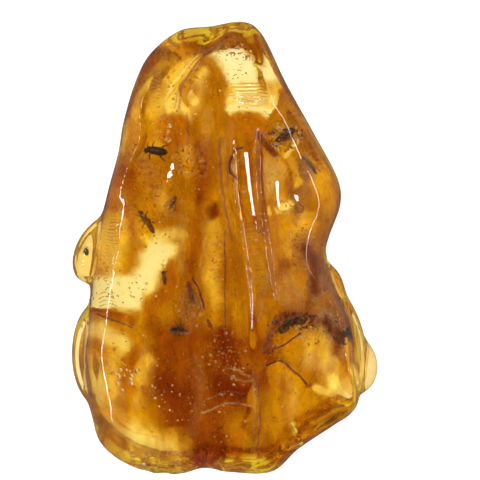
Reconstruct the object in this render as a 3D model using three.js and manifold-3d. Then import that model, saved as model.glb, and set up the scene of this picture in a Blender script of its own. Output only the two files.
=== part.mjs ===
// A polished nodule of copal, young fossil tree resin, with insects and bark crumbs sealed inside it.
// It lies on its back on a small flat spot, with its showiest side up. Millimetres, +Z up.
// +Y runs towards the narrow end. The origin is under the middle of the nodule, on what it rests on.
//
// The resin ran down a trunk in flows. The insects stuck to the skin of one flow, and the next flow covered
// them. So the clear body is parted along that domed skin, and each insect sits in a small pocket in it.
import * as THREE from "three";
import { mergeVertices } from "three/addons/utils/BufferGeometryUtils.js";
import Module from "manifold-3d";

const wasm = await Module();
wasm.setup();

// Driving dimensions of the nodule
const WAIST = 10.4; // height of its widest level above the flat spot
const BACK_DEPTH = 11.0; // from the waist to the lowest point of the back, before the flat spot is ground
const EDGE_FRONT = 7; // how square the front rim is: 2 is an ellipse, 7 a flat face with a rounded edge
const EDGE_BACK = 2.7;
const MASS_SCALE = 6; // turns the body's own measure into about one millimetre per unit
const BLEND = 0.45; // how softly the resin lobes run together
const CRISP = 0.12; // how softly the broken facets meet the rest
const AXIS = { x: -0.5, y: -1.5 }; // the upright line that the outline is measured from
const HEART_HEIGHT = 10; // the point on that line from which the surface is found
const REACH = { from: 1.5, to: 34, step: 0.5, halvings: 20 }; // the search outwards for the surface
const CORE_DETAIL = 12; // the icosahedron's detail
// How the triangles are spread over the nodule: close across the folds of its front, even round its sides
const CORE_SPREAD = { front: { across: 0.75, along: 1.6 }, side: { across: 1.0, along: 1.25 } };
const KEEP_BOX = { across: 80, along: 80, high: 60 }; // what lies above the surface that it rests on
const PARTING_GAP = 0.3;
const POCKET_CLEARANCE = 0.25;

// The skin of the inner flow, a low dome on which the insects lie
const FLOW = { across: 23, along: 33, high: 24.4, centre: -8.2, detail: 5 };

// The outline of the main mass, seen from above
const OUTLINE = [
  [2.0, 25.1], [4.2, 23.7], [6.8, 18.4], [9.9, 12.8], [12.5, 7.9], [12.9, 4.9], [11.7, 1.4],
  [11.3, -0.6], [12.0, -3.8], [13.7, -7.8], [14.3, -12.0], [14.8, -16.5], [14.0, -18.4], [12.2, -19.7],
  [8.3, -22.3], [5.2, -24.9], [0.4, -24.9], [-2.1, -24.5], [-5.5, -25.2], [-9.9, -24.5], [-13.5, -22.0],
  [-14.7, -18.6], [-15.5, -13.0], [-15.1, -8.2], [-14.7, -4.0], [-13.9, 1.5], [-13.0, 6.0], [-11.8, 10.5],
  [-11.2, 14.0], [-9.9, 18.4], [-8.2, 21.6], [-5.0, 24.1], [-1.5, 24.6],
];

// Lobes of resin that squeezed out behind the main mass and show beside it. Turn is about the upright axis,
// in degrees.
const LOBES = [
  { name: "left upper", at: [-14.5, -0.3, 7.8], size: [2.1, 3.6, 4.4], turn: -26 },
  { name: "left lower", at: [-14.9, -11.8, 6.8], size: [2.15, 4.9, 4.6], turn: 0 },
  { name: "right upper", at: [11.4, -4.3, 7.8], size: [1.75, 2.3, 3.6], turn: 12 },
  { name: "right middle", at: [12.9, -10.7, 7.6], size: [2.7, 5.7, 4.8], turn: 8 },
  { name: "right outer", at: [15.0, -13.2, 5.8], size: [2.15, 2.9, 3.4], turn: 6 },
];

// Height of the front above the waist along the length, as [y, height]
const CROWN = [[-26, 5.6], [-19, 7.3], [-8, 8.1], [4, 7.8], [14, 6.9], [22, 5.7], [26, 4.8]];

// Folds that run down the front like drips. Path is [y, x]; a groove has a height below 0. Flatness is how
// flat the top is, from 2 for round. They fade over FOLD_FADE at both ends.
const FOLD_FADE = 3.2;
const FOLDS = [
  {
    name: "middle skirt",
    path: [[19, 1.6], [11, 2], [1, 3], [-9, 4.2], [-17, 4.6]],
    width: 6.5, height: 1.9, flatness: 2,
  },
  {
    name: "middle ridge",
    path: [[17, 2.2], [11, 2.4], [6, 2.6], [1, 3.4], [-5, 4.2], [-11, 4.3]],
    width: 1.3, height: 0.65, flatness: 5,
  },
  {
    name: "groove left of it",
    path: [[13, -0.6], [6, -0.1], [2, 0.8], [-3, 1.3], [-8, 1.1]],
    width: 1.3, height: -0.28, flatness: 2,
  },
  {
    name: "groove right of it",
    path: [[15, 4.9], [8, 5.3], [3, 6.1], [-2, 6.8], [-7, 7.2]],
    width: 1.5, height: -0.4, flatness: 2,
  },
  {
    name: "second ridge",
    path: [[14, -2.4], [8, -2.4], [2, -1.9], [-4, -1.0], [-9, -0.3]],
    width: 1.5, height: 0.18, flatness: 2,
  },
  {
    name: "left groove",
    path: [[14, -4.2], [8, -4.3], [2, -4.1], [-3, -3.5], [-8, -2.8]],
    width: 1.8, height: -0.22, flatness: 2,
  },
  {
    name: "left fold",
    path: [[17, -6.6], [9, -7.4], [1, -9.2], [-6, -10.4]],
    width: 2.4, height: 0.5, flatness: 2,
  },
  {
    name: "left rim",
    path: [
      [20, -6.6], [16, -9.4], [12, -9.3], [8, -11.4], [3, -13.1], [-4, -14.4], [-12, -15], [-17, -14.4],
    ],
    width: 0.8, height: 0.7, flatness: 2,
  },
  {
    name: "crown crease",
    path: [[24.6, 0.9], [22.5, -1.6], [20, -3.9], [16, -6.2]],
    width: 1.1, height: -0.7, flatness: 2,
  },
  {
    name: "crown ridge",
    path: [[22, 0.6], [18, -2.4], [14, -3.2]],
    width: 1.8, height: 0.4, flatness: 2,
  },
  {
    name: "right rim",
    path: [[23, 3.6], [18, 6.3], [13, 8.8], [8, 11.7]],
    width: 0.8, height: 0.7, flatness: 2,
  },
  {
    name: "right lower fold",
    path: [[0, 8.6], [-5, 10.2], [-10, 11.8]],
    width: 1.7, height: 0.6, flatness: 2,
  },
];

// Rounded swellings on the front, as places [x, y] with how far they spread and stand up
const BOSSES = [
  { name: "shoulder", at: [9.8, 5.8], spread: 3.0, height: 0.9 },
  { name: "belly", at: [-7.6, -16.6], spread: 5.2, height: 0.9 },
  { name: "waist hollow", at: [8.6, -0.6], spread: 2.6, height: -0.7 },
  { name: "crown knob", at: [-3.3, 16.8], spread: 1.7, height: 0.4 },
  { name: "shoulder knob", at: [9.1, 8.6], spread: 1.0, height: 0.36 },
];

// Flat faces where the resin chipped or was ground, each a plane through a point with its outward direction
const FACETS = [
  { name: "clear window", at: [3.0, 18.4, 16.4], facing: [0.1, 0.45, 0.89] },
  { name: "lower right", at: [7.8, -18.0, 15.4], facing: [0.36, -0.42, 0.83] },
  { name: "right ledge", at: [10.6, -13.6, 16.6], facing: [0.5, -0.1, 0.86] },
  { name: "lower edge", at: [3.6, -22.6, 14.4], facing: [0.06, -0.62, 0.78] },
];

// A smooth value at y along a list of [y, value] points
function along(points, y) {
  const rows = points[0][0] < points[1][0] ? points : [...points].reverse();
  const last = rows.length - 1;
  if (y <= rows[0][0]) return rows[0][1];
  if (y >= rows[last][0]) return rows[last][1];
  const i = rows.findIndex((row) => row[0] > y) - 1;
  const slope = (k) => {
    const before = rows[Math.max(k - 1, 0)];
    const after = rows[Math.min(k + 1, last)];
    return (after[1] - before[1]) / (after[0] - before[0]);
  };
  const span = rows[i + 1][0] - rows[i][0];
  const t = (y - rows[i][0]) / span;
  const rise = rows[i + 1][1] - rows[i][1];
  const start = slope(i) * span;
  const end = slope(i + 1) * span;
  return rows[i][1] + start * t + (3 * rise - 2 * start - end) * t ** 2 + (start + end - 2 * rise) * t ** 3;
}

// The outline's radius at each of OUTLINE_STEPS angles round the axis, by which t below is 1 on the outline
const OUTLINE_STEPS = 720;
function polarOutline(points) {
  const corners = points.map(([x, y]) => new THREE.Vector3(x, y, 0));
  const curve = new THREE.CatmullRomCurve3(corners, true, "catmullrom", 0.5);
  const spots = curve
    .getPoints(OUTLINE_STEPS)
    .slice(0, OUTLINE_STEPS)
    .map((p) => [Math.atan2(p.y - AXIS.y, p.x - AXIS.x), Math.hypot(p.y - AXIS.y, p.x - AXIS.x)])
    .sort((a, b) => a[0] - b[0]);
  spots.unshift([spots.at(-1)[0] - 2 * Math.PI, spots.at(-1)[1]]);
  spots.push([spots[1][0] + 2 * Math.PI, spots[1][1]]);
  return spots;
}
const outlineSpots = polarOutline(OUTLINE);
function outlineRadius(angle) {
  const i = outlineSpots.findIndex((spot) => spot[0] > angle);
  const [a0, r0] = outlineSpots[i - 1];
  const [a1, r1] = outlineSpots[i];
  return r0 + ((r1 - r0) * (angle - a0)) / (a1 - a0);
}

const bell = (distance, width, flatness = 2) => Math.exp(-(Math.abs(distance / width) ** flatness));

// Height of the front above the waist at a place seen from above
function frontHeight(x, y) {
  let height = along(CROWN, y);
  for (const fold of FOLDS) {
    const ends = fold.path.map((row) => row[0]);
    const low = Math.min(...ends);
    const high = Math.max(...ends);
    const start = THREE.MathUtils.smoothstep(y, low - FOLD_FADE, low + FOLD_FADE);
    const fade = start * (1 - THREE.MathUtils.smoothstep(y, high - FOLD_FADE, high + FOLD_FADE));
    height += fold.height * fade * bell(x - along(fold.path, y), fold.width, fold.flatness);
  }
  for (const boss of BOSSES) {
    height += boss.height * bell(Math.hypot(x - boss.at[0], y - boss.at[1]), boss.spread);
  }
  return height;
}

function mainMass(p) {
  const dx = p.x - AXIS.x;
  const dy = p.y - AXIS.y;
  const t = Math.hypot(dx, dy) / outlineRadius(Math.atan2(dy, dx));
  const up = p.z - WAIST;
  const reach = up > 0 ? frontHeight(p.x, p.y) : BACK_DEPTH;
  const edge = up > 0 ? EDGE_FRONT : EDGE_BACK;
  return (Math.sqrt(t ** edge + (up / reach) ** 2) - 1) * MASS_SCALE;
}

function lobe({ at, size, turn }, p) {
  const angle = THREE.MathUtils.degToRad(turn);
  const dx = p.x - at[0];
  const dy = p.y - at[1];
  const across = (dx * Math.cos(angle) + dy * Math.sin(angle)) / size[0];
  const lengthways = (dy * Math.cos(angle) - dx * Math.sin(angle)) / size[1];
  const upright = (p.z - at[2]) / size[2];
  return (Math.hypot(across, lengthways, upright) - 1) * Math.min(...size);
}

const softLeast = (values, k) => -k * Math.log(values.reduce((sum, v) => sum + Math.exp(-v / k), 0));

// Below 0 inside the resin, 0 on its surface and above 0 outside
function resin(p) {
  let value = softLeast([mainMass(p), ...LOBES.map((one) => lobe(one, p))], BLEND);
  for (const { at, facing } of FACETS) {
    const n = new THREE.Vector3(...facing).normalize();
    const above = n.dot(new THREE.Vector3(p.x - at[0], p.y - at[1], p.z - at[2]));
    value = -softLeast([-value, -above], CRISP);
  }
  return value;
}

// The point of the resin's surface straight out from its heart
const heart = new THREE.Vector3(AXIS.x, AXIS.y, HEART_HEIGHT);
function surfacePoint(direction) {
  const at = (s) => direction.clone().multiplyScalar(s).add(heart);
  let outer = REACH.from;
  while (outer < REACH.to && resin(at(outer)) < 0) outer += REACH.step;
  let inner = outer - REACH.step;
  for (let i = 0; i < REACH.halvings; i++) {
    const middle = (inner + outer) / 2;
    if (resin(at(middle)) < 0) inner = middle;
    else outer = middle;
  }
  return at(outer);
}

// A closed three.js geometry as a solid that can be cut and joined
function solid(geometry) {
  const plain = geometry.clone();
  plain.deleteAttribute("normal");
  plain.deleteAttribute("uv");
  const merged = mergeVertices(plain, 1e-4);
  return new wasm.Manifold(
    new wasm.Mesh({
      numProp: 3,
      vertProperties: new Float32Array(merged.attributes.position.array),
      triVerts: new Uint32Array(merged.index.array),
    }),
  );
}

function geometryOf(made) {
  const mesh = made.getMesh();
  return new THREE.BufferGeometry()
    .setAttribute("position", new THREE.BufferAttribute(new Float32Array(mesh.vertProperties), 3))
    .setIndex(new THREE.BufferAttribute(new Uint32Array(mesh.triVerts), 1));
}

const joined = (solids) => solids.reduce((whole, one) => whole.add(one));

// The whole nodule: a fine icosahedron pushed out to the resin's surface, ground flat where it rests
function wholeNodule() {
  const ball = new THREE.IcosahedronGeometry(1, CORE_DETAIL);
  const position = ball.attributes.position;
  const direction = new THREE.Vector3();
  for (let i = 0; i < position.count; i++) {
    direction.fromBufferAttribute(position, i);
    const facing = Math.abs(direction.z);
    direction.x *= THREE.MathUtils.lerp(CORE_SPREAD.side.across, CORE_SPREAD.front.across, facing);
    direction.y *= THREE.MathUtils.lerp(CORE_SPREAD.side.along, CORE_SPREAD.front.along, facing);
    direction.normalize();
    const p = surfacePoint(direction);
    position.setXYZ(i, p.x, p.y, p.z);
  }
  const keep = new THREE.BoxGeometry(KEEP_BOX.across, KEEP_BOX.along, KEEP_BOX.high);
  return solid(ball).intersect(solid(keep.translate(0, 0, KEEP_BOX.high / 2)));
}

// The dome of the inner flow, grown by a little for the far side of the gap
function flowDome(grow) {
  const dome = new THREE.IcosahedronGeometry(1, FLOW.detail);
  dome.scale(FLOW.across + grow, FLOW.along + grow, FLOW.high + grow);
  return solid(dome.translate(0, 0, FLOW.centre));
}

// Height of the middle of the gap at a place seen from above
function flowHeight(x, y) {
  const share = (x / FLOW.across) ** 2 + (y / FLOW.along) ** 2;
  return FLOW.centre + FLOW.high * Math.sqrt(1 - share);
}

// Insects. Each is made head towards +X and back up, its feet near z = 0, and is later laid in the resin.

function ellipsoid([length, width, height], [x, y, z], detail = 1) {
  return solid(new THREE.IcosahedronGeometry(0.5, detail).scale(length, width, height).translate(x, y, z));
}

// A three-sided bar through a root, a knee and a foot
function limb(points, thickness) {
  const path = new THREE.CatmullRomCurve3(points.map((p) => new THREE.Vector3(...p)));
  const corners = [90, 210, 330].map((degrees) => THREE.MathUtils.degToRad(degrees));
  const section = new THREE.Shape(
    corners.map((a) => new THREE.Vector2(Math.cos(a), Math.sin(a)).multiplyScalar(thickness / 2)),
  );
  const steps = points.length - 1;
  return solid(new THREE.ExtrudeGeometry(section, { steps, bevelEnabled: false, extrudePath: path }));
}

// Legs or feelers in pairs, each a root, a knee and a foot as [x, y, z], given for one side and mirrored
function pairs(rows, thickness) {
  const onSide = (row, side) => row.map(([x, y, z]) => [x, side * y, z]);
  return rows.flatMap((row) => [-1, 1].map((side) => limb(onSide(row, side), thickness)));
}

// Legs that stand out round a short body, at angles in degrees from its head
function rayedLegs(centre, angles, { root, knee, foot }, thickness) {
  return [-1, 1].flatMap((side) =>
    angles.map((degrees) => {
      const a = THREE.MathUtils.degToRad(degrees) * side;
      const at = ([reach, z]) => [centre + reach * Math.cos(a), reach * Math.sin(a), z];
      return limb([at(root), at(knee), at(foot)], thickness);
    }),
  );
}

// A thin flat wing that runs back from its hinge, swept out by an angle in degrees
const WING_THICKNESS = 0.09;
function wing(length, width, hinge, sweep) {
  const outline = new THREE.Shape().absellipse(-length / 2, 0, length / 2, width / 2, 0, 2 * Math.PI);
  const settings = { depth: WING_THICKNESS, bevelEnabled: false, curveSegments: 5 };
  const plate = new THREE.ExtrudeGeometry(outline, settings);
  return solid(plate.rotateZ(THREE.MathUtils.degToRad(sweep)).translate(...hinge));
}

const beetle = () => [
  ellipsoid([1.5, 0.95, 0.72], [-0.35, 0, 0.42]),
  ellipsoid([0.76, 0.86, 0.6], [0.5, 0, 0.4], 0),
  ellipsoid([0.5, 0.46, 0.38], [0.92, 0, 0.36], 0),
  ...pairs(
    [
      [[0.5, 0.05, 0.34], [0.78, 0.56, 0.32], [0.95, 0.92, 0.06]],
      [[0.0, 0.05, 0.34], [0.05, 0.68, 0.34], [-0.1, 1.06, 0.06]],
      [[-0.5, 0.05, 0.34], [-0.72, 0.64, 0.32], [-1.1, 0.96, 0.06]],
    ],
    0.16,
  ),
  ...pairs([[[0.92, 0.05, 0.36], [1.2, 0.28, 0.44], [1.5, 0.5, 0.4]]], 0.12),
];

const roveBeetle = () => [
  ellipsoid([1.5, 0.5, 0.4], [-0.6, 0, 0.3]),
  ellipsoid([0.76, 0.66, 0.5], [0.1, 0, 0.32], 0),
  ellipsoid([0.6, 0.54, 0.42], [0.58, 0, 0.32], 0),
  ellipsoid([0.5, 0.42, 0.36], [0.98, 0, 0.32], 0),
  ...pairs(
    [
      [[0.55, 0.05, 0.3], [0.8, 0.4, 0.28], [0.98, 0.6, 0.06]],
      [[0.15, 0.05, 0.3], [0.15, 0.46, 0.28], [0.04, 0.72, 0.06]],
      [[0.0, 0.05, 0.3], [-0.3, 0.44, 0.26], [-0.62, 0.66, 0.06]],
    ],
    0.12,
  ),
];

// A winged termite on its side, its long wings run back past the body
const wingedTermite = () => [
  ellipsoid([1.7, 0.68, 0.62], [-0.8, 0, 0.42]),
  ellipsoid([0.96, 0.66, 0.64], [0.1, 0, 0.45], 0),
  ellipsoid([0.64, 0.56, 0.5], [0.66, 0, 0.45], 0),
  wing(3.4, 0.98, [0.25, 0.12, 0.56], -15),
  wing(3.2, 0.95, [0.2, -0.1, 0.5], 16),
  ...pairs(
    [
      [[0.3, 0.05, 0.36], [0.62, 0.5, 0.3], [0.8, 0.88, 0.08]],
      [[0.0, 0.05, 0.36], [-0.05, 0.62, 0.3], [-0.2, 1.06, 0.08]],
      [[-0.1, 0.05, 0.36], [-0.5, 0.6, 0.28], [-0.98, 0.94, 0.08]],
    ],
    0.13,
  ),
  ...pairs([[[0.7, 0.05, 0.46], [1.05, 0.24, 0.52], [1.4, 0.44, 0.46]]], 0.1),
];

const spider = () => [
  ellipsoid([0.98, 0.86, 0.74], [-0.5, 0, 0.46]),
  ellipsoid([0.86, 0.66, 0.5], [0.2, 0, 0.36], 0),
  ...rayedLegs(
    0.2,
    [38, 74, 112, 142],
    { root: [0.08, 0.34], knee: [0.66, 0.54], foot: [1.2, 0.08] },
    0.14,
  ),
];

// A small two-winged fly of a given body length, its wings held half open
const fly = (bodyLength, wingLength) => {
  const b = bodyLength;
  const part = (size, x, z, detail) => ellipsoid(size.map((side) => side * b), [x * b, 0, z * b], detail);
  const row = (points) => points.map((point) => point.map((side) => side * b));
  return [
    part([0.62, 0.22, 0.22], -0.28, 0.24),
    part([0.34, 0.28, 0.3], 0.08, 0.28, 0),
    part([0.22, 0.22, 0.2], 0.28, 0.26, 0),
    wing(wingLength, 0.34 * wingLength, [0.1 * b, 0.04 * b, 0.32 * b], -26),
    wing(wingLength, 0.34 * wingLength, [0.1 * b, -0.04 * b, 0.28 * b], 26),
    ...pairs(
      [
        row([[0.12, 0.03, 0.24], [0.3, 0.24, 0.2], [0.42, 0.44, 0.04]]),
        row([[0.06, 0.03, 0.24], [0.04, 0.3, 0.2], [-0.08, 0.56, 0.04]]),
        row([[0.02, 0.03, 0.24], [-0.2, 0.28, 0.2], [-0.5, 0.5, 0.04]]),
      ],
      0.1,
    ),
  ];
};

const ant = () => [
  ellipsoid([0.9, 0.6, 0.56], [-0.74, 0, 0.42]),
  ellipsoid([0.4, 0.22, 0.26], [-0.24, 0, 0.38], 0),
  ellipsoid([0.74, 0.38, 0.4], [0.16, 0, 0.4], 0),
  ellipsoid([0.6, 0.54, 0.44], [0.68, 0, 0.42], 0),
  ...pairs(
    [
      [[0.3, 0.04, 0.36], [0.52, 0.4, 0.42], [0.72, 0.8, 0.06]],
      [[0.14, 0.04, 0.36], [0.1, 0.48, 0.42], [-0.02, 0.94, 0.06]],
      [[0.0, 0.04, 0.36], [-0.3, 0.46, 0.4], [-0.66, 0.86, 0.06]],
    ],
    0.12,
  ),
  ...pairs([[[0.78, 0.04, 0.44], [1.0, 0.32, 0.52], [1.3, 0.24, 0.44]]], 0.1),
];

const springtail = () => [
  ellipsoid([1.0, 0.36, 0.34], [-0.16, 0, 0.26]),
  ellipsoid([0.42, 0.32, 0.3], [0.38, 0, 0.28], 0),
  ...pairs(
    [
      [[0.2, 0.03, 0.24], [0.34, 0.2, 0.18], [0.42, 0.34, 0.05]],
      [[-0.1, 0.03, 0.24], [-0.16, 0.22, 0.18], [-0.26, 0.36, 0.05]],
    ],
    0.1,
  ),
];

const mite = () => [
  ellipsoid([0.62, 0.5, 0.4], [-0.04, 0, 0.26]),
  ellipsoid([0.3, 0.22, 0.2], [0.28, 0, 0.24], 0),
  ...rayedLegs(
    0.02,
    [38, 74, 112, 146],
    { root: [0.05, 0.24], knee: [0.32, 0.26], foot: [0.48, 0.06] },
    0.08,
  ),
];

const leafhopper = () => [
  ellipsoid([1.5, 0.52, 0.5], [-0.18, 0, 0.32]),
  ellipsoid([0.5, 0.56, 0.44], [0.46, 0, 0.32], 0),
  ...pairs(
    [
      [[0.4, 0.04, 0.28], [0.56, 0.34, 0.24], [0.72, 0.54, 0.06]],
      [[0.1, 0.04, 0.28], [-0.3, 0.44, 0.28], [-0.74, 0.52, 0.06]],
    ],
    0.11,
  ),
];

// Crumbs of bark: blunt lumps run together, each as its size and its middle
const upperCrumb = () => [
  ellipsoid([1.7, 0.8, 0.7], [0, 0, 0.4]),
  ellipsoid([1.2, 0.8, 0.64], [0.8, 0.3, 0.42], 0),
  ellipsoid([1.1, 0.7, 0.56], [-0.8, -0.25, 0.36], 0),
];
const lowerCrumb = () => [
  ellipsoid([2.0, 0.9, 0.7], [0, 0, 0.42]),
  ellipsoid([1.6, 0.9, 0.64], [1.1, -0.25, 0.4], 0),
  ellipsoid([1.5, 0.9, 0.64], [-1.0, -0.35, 0.38], 0),
];
const sideCrumb = () => [
  ellipsoid([1.6, 1.0, 0.7], [0, 0, 0.42]),
  ellipsoid([1.1, 1.3, 0.64], [0.4, -0.6, 0.4], 0),
  ellipsoid([1.0, 0.8, 0.56], [-0.5, 0.45, 0.38], 0),
];

// What is sealed in: its place seen from above, and its heading in degrees from +X
const SEALED = [
  { name: "beetle", make: beetle, at: [-7.3, 10.5], heading: 168, colour: 0x1c0f08 },
  { name: "rove_beetle", make: roveBeetle, at: [-8.3, 2.8], heading: 112, colour: 0x3a1a08 },
  { name: "midge", make: () => fly(1.7, 1.5), at: [-5.6, 5.1], heading: 60, colour: 0x2a1810 },
  { name: "mite", make: mite, at: [-14.9, -0.5], heading: 75, colour: 0x20140a },
  { name: "leafhopper", make: leafhopper, at: [-6.6, -3.2], heading: 98, colour: 0x4a220c },
  { name: "winged_termite", make: wingedTermite, at: [-3.6, -4.6], heading: 104, colour: 0x4c1c0c },
  { name: "spider", make: spider, at: [-4.9, -9.0], heading: 15, colour: 0x160a0a },
  { name: "springtail", make: springtail, at: [-1.1, -8.3], heading: 118, colour: 0x4a120a },
  { name: "ant", make: ant, at: [1.3, 9.1], heading: 86, colour: 0x3c1608 },
  { name: "fungus_gnat", make: () => fly(2.4, 2.0), at: [8.2, 8.6], heading: 122, colour: 0x3a1c10 },
  { name: "bark_crumb_upper", make: upperCrumb, at: [5.9, 11.7], heading: 28, colour: 0x2c1c12 },
  { name: "bark_crumb_lower", make: lowerCrumb, at: [6.3, -8.0], heading: 24, colour: 0x2e1d12 },
  { name: "bark_crumb_side", make: sideCrumb, at: [12.1, -9.6], heading: 40, colour: 0x4a2c1c },
];
const SINK = 0.4; // feet lie this far below the flow's skin, which so passes through the middle of the body

// How many times a body's half box an egg round its middle must be to hold every corner of it
function eggReach(body, middle, half) {
  const { numProp, vertProperties } = body.getMesh();
  let reach = 1;
  for (let i = 0; i < vertProperties.length; i += numProp) {
    const share = middle.map((m, axis) => (vertProperties[i + axis] - m) / half[axis]);
    reach = Math.max(reach, Math.hypot(...share));
  }
  return reach;
}

// An insect laid on the flow's skin, and the egg-shaped pocket that holds it clear of the resin
const EGG_FLATS = 1.22; // the egg's flat faces cut in by this much
function layIn({ make, at, heading }) {
  const body = joined(make());
  const box = body.boundingBox();
  const middle = box.min.map((low, i) => (low + box.max[i]) / 2);
  const half = box.min.map((low, i) => (box.max[i] - low) / 2);
  const reach = eggReach(body, middle, half) * EGG_FLATS;
  const egg = new THREE.IcosahedronGeometry(1, 0)
    .scale(...half.map((side) => side * reach + POCKET_CLEARANCE))
    .translate(...middle);
  const turn = [0, 0, heading];
  const to = [at[0], at[1], flowHeight(at[0], at[1]) - SINK];
  return { body: body.rotate(turn).translate(to), pocket: solid(egg).rotate(turn).translate(to) };
}

const resinFinish = new THREE.MeshStandardMaterial({
  color: 0xd98a1c, roughness: 0.06, metalness: 0, transparent: true, opacity: 0.55,
});

const nodule = new THREE.Group();
nodule.name = "copal_with_insects";

function add(name, made, material) {
  const mesh = new THREE.Mesh(geometryOf(made), material);
  mesh.name = name;
  nodule.add(mesh);
}

const whole = wholeNodule();
const bounds = whole.boundingBox();
const laid = SEALED.map((one) => ({ ...one, ...layIn(one) }));
const pockets = joined(laid.map((one) => one.pocket));
add("copal_front", whole.subtract(flowDome(PARTING_GAP / 2)).subtract(pockets), resinFinish);
add("copal_back", whole.intersect(flowDome(-PARTING_GAP / 2)).subtract(pockets), resinFinish);
for (const { name, body, colour } of laid) {
  add(name, body, new THREE.MeshStandardMaterial({ color: colour, roughness: 0.45, metalness: 0 }));
}
const middle = bounds.min.map((low, i) => (low + bounds.max[i]) / 2);
nodule.position.set(-middle[0], -middle[1], -bounds.min[2]);

export default nodule;
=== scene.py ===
"""A polished nodule of copal with insects sealed inside it, lying on its back on a pale table."""
import math

import bmesh
import bpy
import numpy as np
from mathutils import Matrix, Vector, noise


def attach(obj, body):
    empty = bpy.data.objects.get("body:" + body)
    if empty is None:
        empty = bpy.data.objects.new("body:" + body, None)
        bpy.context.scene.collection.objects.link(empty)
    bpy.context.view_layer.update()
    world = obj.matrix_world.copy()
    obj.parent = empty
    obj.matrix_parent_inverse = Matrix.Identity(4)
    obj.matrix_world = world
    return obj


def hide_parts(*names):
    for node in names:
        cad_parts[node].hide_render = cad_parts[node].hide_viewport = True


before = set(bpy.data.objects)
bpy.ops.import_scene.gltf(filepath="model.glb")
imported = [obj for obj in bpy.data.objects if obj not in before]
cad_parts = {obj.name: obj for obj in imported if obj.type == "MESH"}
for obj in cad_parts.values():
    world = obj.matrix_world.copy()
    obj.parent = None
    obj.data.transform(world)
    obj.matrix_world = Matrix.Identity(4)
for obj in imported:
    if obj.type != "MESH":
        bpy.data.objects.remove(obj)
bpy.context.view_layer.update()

# The camera looks straight down on the nodule from a table stand with a long lens, as in the photograph.
# The picture is about 53 mm wide at the level of the nodule's outline.
MM = 0.001
VIEW_WIDTH = 53.33 * MM
VIEW_CENTRE = Vector((1.69 * MM, 0.89 * MM, 10.4 * MM))
CAMERA_DISTANCE = 450 * MM

lens = bpy.data.cameras.new("stand_camera")
lens.sensor_width = 36
lens.lens = lens.sensor_width * CAMERA_DISTANCE / VIEW_WIDTH
lens.clip_start = 0.01
stand_camera = bpy.data.objects.new("stand_camera", lens)
stand_camera.location = VIEW_CENTRE + Vector((0, 0, CAMERA_DISTANCE))
bpy.context.collection.objects.link(stand_camera)
bpy.context.scene.camera = stand_camera

# The copal nodule is young tree resin, tumbled smooth and then polished on a soft wheel to a wet gloss.
# It is one clear natural lump: folds run down its front where flows of resin overlapped, lobes squeezed out
# behind its rim, and flat faces are where it chipped. Sizes are in millimetres in the part's own axes.
WAIST = 10.4
BACK_DEPTH = 11.0
# How square the rim is in front and behind, how softly a lobe flows into the mass and how crisply a face ends
EDGE_FRONT, EDGE_BACK = 7, 2.7
MASS_SCALE = 6
BLEND = 0.45
CRISP = 0.12
# The heart, from which the surface is found outwards by halving the way to a point that is surely outside
AXIS_X, AXIS_Y, HEART_HEIGHT = -0.5, -1.5, 10
FARTHEST = 34
HALVINGS = 20
BALL_SPLITS = 88
# How the surface's points spread across and along the nodule, over its front and round its side
SPREAD_FRONT = (0.75, 1.5)
SPREAD_SIDE = (1.0, 1.25)

OUTLINE = [
    (2.0, 25.1), (4.2, 23.7), (6.8, 18.4), (9.9, 12.8), (12.5, 7.9), (12.9, 4.9), (11.7, 1.4),
    (11.3, -0.6), (12.0, -3.8), (13.7, -7.8), (14.3, -12.0), (14.8, -16.5), (14.0, -18.4), (12.2, -19.7),
    (8.3, -22.3), (5.2, -24.9), (0.4, -24.9), (-2.1, -24.5), (-5.5, -25.2), (-9.9, -24.5), (-13.5, -22.0),
    (-14.7, -18.6), (-15.5, -13.0), (-15.1, -8.2), (-14.7, -4.0), (-13.9, 1.5), (-13.0, 6.0), (-11.8, 10.5),
    (-11.2, 14.0), (-9.9, 18.4), (-8.2, 21.6), (-5.0, 24.1), (-1.5, 24.6),
]
# Each lobe: middle, half sizes and turn about the upright axis in degrees
LOBES = {
    "left upper": ((-14.5, -0.3, 7.8), (2.1, 3.6, 4.4), -26),
    "left lower": ((-14.9, -11.8, 6.8), (2.15, 4.9, 4.6), 0),
    "right upper": ((11.4, -4.3, 7.8), (1.75, 2.3, 3.6), 12),
    "right middle": ((12.9, -10.7, 7.6), (2.7, 5.7, 4.8), 8),
    "right outer": ((15.0, -13.2, 5.8), (2.15, 2.9, 3.4), 6),
}
# How high the front stands above the waist, as (y, height)
CROWN = [(-26, 5.6), (-19, 7.3), (-8, 8.1), (4, 7.8), (14, 6.9), (22, 5.7), (26, 4.8)]
FOLD_FADE = 3.2
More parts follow.
